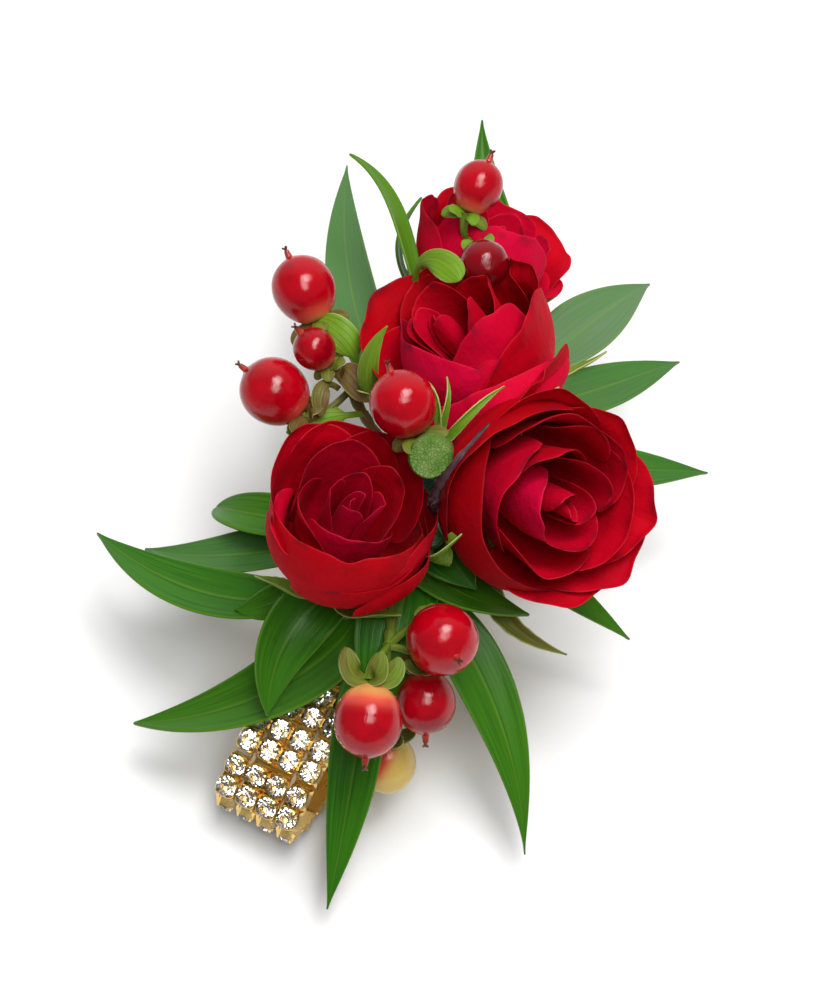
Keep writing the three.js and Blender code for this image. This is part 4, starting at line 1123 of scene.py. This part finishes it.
def velvet_petal():
    """Velvety petal: deep red with painted shade toward its base, pinker inside and in part painted
    light, with fanned veins and a thin edge of painted light, dry in spots.
    """
    material, tree, shader = new_material("velvet_petal")
    veins = veined(tree, 34.0)
    outward = add_node(tree, "SeparateXYZ", {"Vector": coords(tree, "UV")}).outputs["Y"]
    tone = marked(tree, "tone")
    place = coords(tree, "Object")
    cloud = noise(tree, place, 110.0, 3.0)
    crumple = noise(tree, place, 240.0, 3.0)
    # Painted shade: each petal darkens toward its base in the bloom's folds, and also in random
    # clouds
    fade = maths(tree, "MULTIPLY", ramp(tree, cloud, 0.3, 0.7, 0.35, 0.85),
                 ramp(tree, outward, 0.05, 0.5, 0.3, 1.0))
    body = mix(tree, fade, PETAL_DEEP_AND_SHADE, PETAL_RED)
    # Tone above nought pinks a petal, partly as painted light; below nought it darkens it as
    # painted shade
    pinked = mix(tree, ramp(tree, tone, 0.0, 1.0), body, PETAL_PINK_AND_LIGHT)
    toned = mix(tree, ramp(tree, tone, -1.0, 0.0, 1.0, 0.0), pinked, PETAL_PAINTED_SHADE)
    lined = mix(tree, maths(tree, "MULTIPLY", veins["Vein"], 0.14), toned, PETAL_DEEP_AND_SHADE)
    # Painted light: thin pale lines in patches along the rims, where light shines through them
    edge = maths(tree, "MAXIMUM", ramp(tree, outward, 0.982, 0.999), veins["Edge"])
    rim_glow = maths(tree, "MULTIPLY", edge, ramp(tree, cloud, 0.4, 0.65, 0.03, 0.20))
    edged = mix(tree, rim_glow, lined, PETAL_RIM_GLOW)
    brittle = maths(tree, "MULTIPLY", ramp(tree, outward, 0.91, 0.995),
                    ramp(tree, crumple, 0.54, 0.66, 0.0, 0.7))
    height = maths(tree, "MULTIPLY_ADD", crumple, 3.0, veins["Mottle"])
    set_inputs(tree, shader, Base_Color=mix(tree, brittle, edged, PETAL_DRIED), Roughness=0.68,
               Normal=bump(tree, height, 0.3, 0.0005), Specular_IOR_Level=0.045,
               Sheen_Weight=0.06, Sheen_Roughness=0.35, Sheen_Tint=PETAL_SHEEN)
    return material


def bloom_petals(name, rose):
    """All petals of a bloom, from the outside in, joined into one piece."""
    draw = random.Random(name)
    axis, base = bloom_axis(rose)
    across = PHOTO_RIGHT - (PHOTO_RIGHT @ axis) * axis
    across /= np.linalg.norm(across)
    upward = np.cross(axis, across)
    petals = []
    for turn, span, *hundredths in PETALS[name]:
        petal = (turn, span, *(share / 100 for share in hundredths))

        def shape(u, v):
            out, around, lift = petal_points(u, v, rose, petal, draw)
            inner = v * (1 - min(1, petal[2])) ** 2
            aside = out * np.cos(around) + inner * rose["heart"][0]
            above = out * np.sin(around) + inner * rose["heart"][1]
            spread = aside[:, None] * across + above[:, None] * upward
            return press_aside(base + spread + lift[:, None] * axis)
        grid = WIDE_GRID if span > WIDE_PETAL else NARROW_GRID
        sheet = lay_sheet("petal", *grid, shape)
        mark(sheet, "tone", petal[-1])
        petals.append(sheet)
    return thicken(join(name + "_petals", petals), PETAL_SHEET)


def bloom_room(rose):
    axis, base = bloom_axis(rose)
    radius = rose["radius"] * ROOM_SHARE

    def reach(rise):
        return PETAL_BASE + (radius - PETAL_BASE) * np.sin(math.pi / 2 * rise ** PETAL_CUP)
    return base, axis, rose["height"], reach


velvet = velvet_petal()
for name, rose in ROSES.items():
    settle(bloom_petals(name, rose), "spray", "rose_petal", velvet, name + "_bloom")
    rooms.append(bloom_room(rose))

# Ruscus leaves
# Stiff, leathery leaves of Italian ruscus, wired into the pad by their stalks. They are glossy
# dark green with fine parallel veins, channelled along the middle and drawn out to a point.
LEAF_SHEET, PETIOLE, BLADE_START = 0.5, 1.3, 0.14
LEAF_FOLD, LEAF_WAVE, LEAF_TONE = (0.1, 0.3), (-0.06, 0.06), (0.0, 0.15)
# Place along the pad and round it, lead and tip of the leaf, its width, arch, sway and roll
LEAVES = {
    "left_long": (-22, 18, (-15, 4, -4), (-30.9, 46.9, -12), 10, 3, 5, 10),
    "left_back": (-16, 14, (-6, 9, -3.2), (-29.5, 38.4, -12), 9, 2, 5, 8),
    "left_round": (-12.8, 24, (-8, 10, -1), (-19.8, 30.3, -6), 8.2, 4, 1, 0),
    "front_short": (-23, 78, (-7, 1, 1), (-49.3, 2.4, -3), 11.5, 4, -5.5, -24),
    "front_left": (-25.5, 130, (-6, -5, -4), (-55.2, 24.9, -18), 11.5, 2.2, 8, 6),
    "front_down": (-24.5, 172, (-7.8, -3.2, -2.8), (-66.1, -18, -22), 8.5, 5, 1.5, 0),
    "front_right": (-17, 168, (-3, -8, -2), (-42.2, -40.6, -22), 9, 4, 6, 0),
    "under_roses": (-13.5, 150, (-6, -2, 2), (-17.7, -26.9, 7), 8, 2, -3, -20),
    "right_low": (-5, 162, (-1, -6, -1), (-2.5, -38, -16), 6.5, 3, 0, 0),
    "right_middle": (4.5, 162, (3, -5, -1), (28.7, -35.7, -10), 8.5, 3, -1, 10),
    "right_upper": (14.5, 164, (4, -4, -1), (43.3, -22.4, -6), 8.5, 3, -1, 10),
    "right_top": (20, 160, (4, -2, 1), (52.2, -11.7, -2), 11, 3, 1.5, 5),
    "far_tip": (25.5, 120, (8, 3, -9), (63.4, 27.3, 5), 8.5, -6, 4, 0),
    "far_left": (4, 18, (6, 16, 1), (46.6, 44.4, 0), 8.5, 3, 2, 0),
    "far_curled": (13, 45, (4, 13.2, 12), (35.3, 36.9, 22), 3.4, 4, -9, 35),
}
# How a leaf widens, how it narrows and how much broader it is, where that differs from the others
PLAIN_LEAF = (0.7, 1.15, 1.0)
BROAD = {
    "front_left": (0.25, 0.9, 1.1), "front_short": (0.5, 0.95, 0.88),
    "under_roses": (0.5, 1.0, 1.2), "front_right": (0.6, 1.35, 1.05),
    "far_curled": (1.5, 0.9, 1.0), "left_round": (0.7, 0.55, 1.0),
}
# Leaves that are brighter, or hazed pale with a painted sheen where that is below nought
LEAF_TONES = {
    "far_curled": 0.4, "left_round": 0.12, "far_left": -0.26, "right_top": -0.38,
    "right_upper": -0.16, "right_middle": -0.08, "left_back": -0.12,
}
LEAF_DEEP, LEAF_GREEN = (0.016, 0.088, 0.005, 1), (0.036, 0.172, 0.006, 1)
# The sheen colour is a painted pale reflection that hazes some leaves
LEAF_BRIGHT, LEAF_PAINTED_SHEEN = (0.15, 0.28, 0.02, 1), (0.27, 0.36, 0.25, 1)
LEAF_SHINE = (0.75, 1.0, 0.7, 1)


def leaf_line(along, clock, lead, tip, arch, sway):
    foot, surface = socket(along, clock)
    first = surface + np.array(lead)
    run = np.array(tip) - first
    across = np.array([-run[1], run[0], 0]) / math.hypot(run[0], run[1])
    return curve([foot, first, first + run / 2 + across * sway + np.array([0, 0, arch]), tip])


def ruscus_leaf():
    """Leathery glossy leaf: dark between its veins, brighter along the midrib and the edge, with a
    pale painted sheen on some.
    """
    material, tree, shader = new_material("ruscus_leaf")
    veins = veined(tree, 22.0)
    tone = marked(tree, "tone")
    body = mix(tree, ramp(tree, veins["Mottle"], 0.3, 0.7), LEAF_DEEP, LEAF_GREEN)
    bright = mix(tree, ramp(tree, tone, 0.0, 1.0), body, LEAF_BRIGHT)
    # Painted sheen: leaves marked below nought are hazed pale, more where the mottle is low
    painted_sheen = maths(tree, "MULTIPLY", ramp(tree, tone, -1.0, 0.0, 1.0, 0.0),
                ramp(tree, veins["Mottle"], 0.3, 0.7, 1.2, 0.6), clamp=True)
    toned = mix(tree, painted_sheen, bright, LEAF_PAINTED_SHEEN)
    lined = mix(tree, maths(tree, "MULTIPLY", veins["Vein"], 0.24), toned, LEAF_GREEN)
    ribs = maths(tree, "MAXIMUM", veins["Edge"], veins["Midrib"])
    edged = mix(tree, maths(tree, "MULTIPLY", ribs, 0.35), lined, LEAF_BRIGHT)
    set_inputs(tree, shader, Base_Color=edged, Normal=bump(tree, veins["Vein"], 0.12, 0.0002),
               Specular_IOR_Level=0.18, Specular_Tint=LEAF_SHINE,
               Roughness=ramp(tree, veins["Mottle"], 0.3, 0.7, 0.24, 0.36))
    return material


leaf_green = ruscus_leaf()
leaf_draw = random.Random(9)
for key, (along, clock, lead, tip, width, arch, sway, roll) in LEAVES.items():
    rise, taper, broader = BROAD.get(key, PLAIN_LEAF)
    line = leaf_line(along, clock, lead, tip, arch, sway)
    leaf = lay_blade("ruscus_" + key, line, width * broader, stalk=PETIOLE, start=BLADE_START,
                     rise=rise, taper=taper, roll=roll, fold=leaf_draw.uniform(*LEAF_FOLD),
                     wave=leaf_draw.uniform(*LEAF_WAVE), sheet=LEAF_SHEET, grid=(12, 40))
    mark(leaf, "tone", LEAF_TONES.get(key, leaf_draw.uniform(*LEAF_TONE)))
    settle(leaf, "spray", "ruscus_leaf", leaf_green, "leaf_" + key)

# Small greens
# Loose hypericum leaves on the sprigs, a dried rose stalk between the roses and odd slips of
# ruscus, all caught in the same pad or growing from the stems beside them.

# Way from the object to the photo's camera
TO_EYE = np.array([-0.4330, -0.25, 0.8660])
# Curve, width, how far it has dried, how it widens and how it narrows
HYPERICUM_LEAVES = {
    "left": ([(2, 16, 15), (4.6, 16.4, 21), (4.6, 21.6, 22.4), (5.7, 25.6, 20)],
             5.4, 0.05, 0.45, 0.5),
    "dry": ([(0, 17, 15.5), (1.4, 18.6, 21), (-0.3, 15.4, 20), (-2.4, 11.2, 18)],
            4.6, 0.95, 0.5, 0.6),
    "thin": ([(-1, 17.5, 15), (-2.7, 19.5, 20), (-5.2, 18.8, 18.4), (-7.4, 17, 16)],
             3.0, 0.8, 0.6, 0.6),
    "low": ([(-1, 12, 12), (-4.4, 14.4, 14.4), (-6.7, 17.7, 14.4), (-10.8, 21.6, 12)],
            4.6, 0.1, 0.6, 0.9),
    "pale": ([(-1.5, 10.5, 14), (-2.7, 11.7, 24), (0, 13.4, 27), (4.7, 11.7, 30.4)],
             3.4, 0.1, 0.5, 1.0),
    "far": ([(17, 13, 20), (17.6, 16.4, 30), (20.4, 11.6, 32.5), (16.4, 5.4, 32.4)],
            4.8, 0.0, 1.6, 0.6),
}
# Curve, width, roll and how bright it is
RUSCUS_SLIPS = {
    "between": ([(-12, -3, 6), (-11, -5, 13), (-17, -10, 12), (-19, -18, 9)], 11.0, 0.0, 0.0),
    "front": ([(-14, -4, 6), (-22, -8, 9), (-33, -10.5, 7), (-42, -12.5, -2)], 13.0, 0.0, 0.0),
    "gap": ([(-13, -5, 8), (-16, -8.5, 13), (-17.5, -10.5, 17), (-18.5, -12, 20)], 5.0, 0.0, 0.0),
    "slip_left": ([(-27, 6, 4), (-34.6, 10, 3), (-36.6, 12.2, 2), (-36.9, 15.9, 0)],
                  5.5, 0.0, 0.15),
    "slip_far": ([(20, 8, 8), (25.4, 26.3, 10.5), (32.7, 26.8, 10.5), (41.1, 26.4, 10)],
                 2.6, 70.0, 0.0),
}
DRIED_STALK = [(-16, -9.5, 22), (-22.2, -9.8, 34.4), (-17.2, -11.2, 37.2), (-12.9, -12.3, 38.6),
               (-8, -13.4, 39.5)]
STALK_RADIUS, STALK_TAPER, DRIED_GRID = 1.1, 0.8, (9, 60)
STALK_KNOTS, STALK_KNOT_RATES = 0.25, (23, 57)
STALK_PURPLE, STALK_GREY = (0.035, 0.004, 0.014, 1), (0.30, 0.20, 0.17, 1)


def dried_stalk():
    """Shrivelled dark purple bark with torn, pale fibres."""
    material, tree, shader = new_material("dried_stalk")
    fibres = noise(tree, drawn_out(tree, coords(tree, "UV"), 9.0, 3.0), 1.5, 5.0)
    shade = mix(tree, ramp(tree, fibres, 0.55, 0.7), STALK_PURPLE, STALK_GREY)
    relief = bump(tree, fibres, 0.7, 0.0004)
    set_inputs(tree, shader, Base_Color=shade, Normal=relief, Roughness=0.6)
    return material


def shrivelled(v):
    slow, quick = STALK_KNOT_RATES
    knots = 1 + STALK_KNOTS * np.sin(slow * v) * np.sin(quick * v)
    return STALK_RADIUS * (1 - STALK_TAPER * v) * knots


for key, (control, width, dry, rise, taper) in HYPERICUM_LEAVES.items():
    slip = lay_blade("hypericum_leaf_" + key, curve(control), width, stalk=1.0, start=0.3,
                     rise=rise, taper=taper, fold=-0.2, wave=0.15, grid=(8, 26), facing=TO_EYE)
    mark(slip, "dry", dry)
    settle(slip, "spray", "hypericum_green", sepal_green)
for key, (control, width, roll, tone) in RUSCUS_SLIPS.items():
    slip = lay_blade("ruscus_" + key, curve(control), width, stalk=PETIOLE, start=0.2, roll=roll,
                     fold=0.2, sheet=LEAF_SHEET, grid=(10, 30), facing=TO_EYE)
    mark(slip, "tone", tone)
    settle(slip, "spray", "ruscus_leaf", leaf_green)
stalk = lay_tube("dried_rose_stalk", curve(DRIED_STALK), shrivelled, *DRIED_GRID)
settle(stalk, "spray", "rose_green", dried_stalk())

# Studio
# A white table under a large soft lamp above, a soft lamp beside the camera and a pale room,
# which is brighter on its far side.
FLOOR_SIZE, FLOOR_DROP, FLOOR_COLOUR, FLOOR_LIFT = 6.0, 0.0002, (0.86, 0.86, 0.86, 1), 0.03
TARGET = plate_top + np.array([-9.4, -0.92, 8.0]) * MM
PHOTO_UP = np.array([0.75, 0.4330, 0.5])
CAMERA_DISTANCE, CAMERA_LENS, CAMERA_SENSOR, CAMERA_NEAR = 0.531, 120.0, 36.0, 0.01
FAR_SIDE, NEAR_SHADE, FAR_SHADE = (0.85, 0.49, 0.2), 0.18, 0.8
# Distance from the target, the way there to the photo's right, up and back, size and power
LAMPS = {
    "key_lamp": (0.9, (0.20, 0.55, 0.81), 0.42, 6.3),
    "front_lamp": (1.0, (0.12, 0.16, 0.98), 0.45, 4.1),
}


def table_top():
    """A matt white that looks a little brighter than the light on it."""
    material, tree, shader = new_material("white_table")
    tree.nodes.remove(shader)
    path = add_node(tree, "LightPath").outputs
    seen = maths(tree, "MAXIMUM", path["Is Camera Ray"], path["Is Glossy Ray"])
    shown = maths(tree, "MAXIMUM", seen, path["Is Transmission Ray"])
    lift = maths(tree, "MULTIPLY", shown, FLOOR_LIFT)
    matt = add_node(tree, "BsdfDiffuse", {"Color": FLOOR_COLOUR}).outputs["BSDF"]
    glow = add_node(tree, "Emission", {"Color": (1, 1, 1, 1), "Strength": lift}).outputs["Emission"]
    both = add_node(tree, "AddShader", {0: matt, 1: glow}).outputs["Shader"]
    set_inputs(tree, tree.nodes["Material Output"], Surface=both)
    return material


deselect()
bpy.ops.mesh.primitive_plane_add(size=FLOOR_SIZE, location=(0, 0, -FLOOR_DROP))
floor = bpy.context.object
floor.name = "white_floor"
floor.data.materials.append(table_top())

world = bpy.data.worlds.new("pale_room")
world.use_nodes = True
bpy.context.scene.world = world
room = world.node_tree
toward = add_node(room, "VectorMath", {
    0: coords(room, "Generated"), 1: FAR_SIDE,
}, operation="DOT_PRODUCT").outputs["Value"]
wall = ramp(room, toward, 0.3, 0.9, NEAR_SHADE, FAR_SHADE)
set_inputs(room, room.nodes["Background"], Color=wall, Strength=1.0)

for name, (distance, (right, up, back), size, power) in LAMPS.items():
    place = TARGET + distance * (right * PHOTO_RIGHT + up * PHOTO_UP + back * TO_EYE)
    deselect()
    bpy.ops.object.light_add(type="AREA", location=place)
    lamp = bpy.context.object
    lamp.name = name
    lamp.data.shape = "DISK"
    lamp.data.size = size
    lamp.data.energy = power
    lamp.rotation_euler = (Vector(TARGET) - Vector(place)).to_track_quat("-Z", "Y").to_euler()

camera = bpy.data.cameras.new("photo_camera")
camera.lens = CAMERA_LENS
camera.sensor_width = CAMERA_SENSOR
camera.clip_start = CAMERA_NEAR
viewer = bpy.data.objects.new("photo_camera", camera)
bpy.context.collection.objects.link(viewer)
viewer.location = TARGET + CAMERA_DISTANCE * TO_EYE
viewer.rotation_euler = Vector(-TO_EYE).to_track_quat("-Z", "Y").to_euler()
bpy.context.scene.camera = viewer
bpy.context.scene.view_settings.view_transform = "Standard"
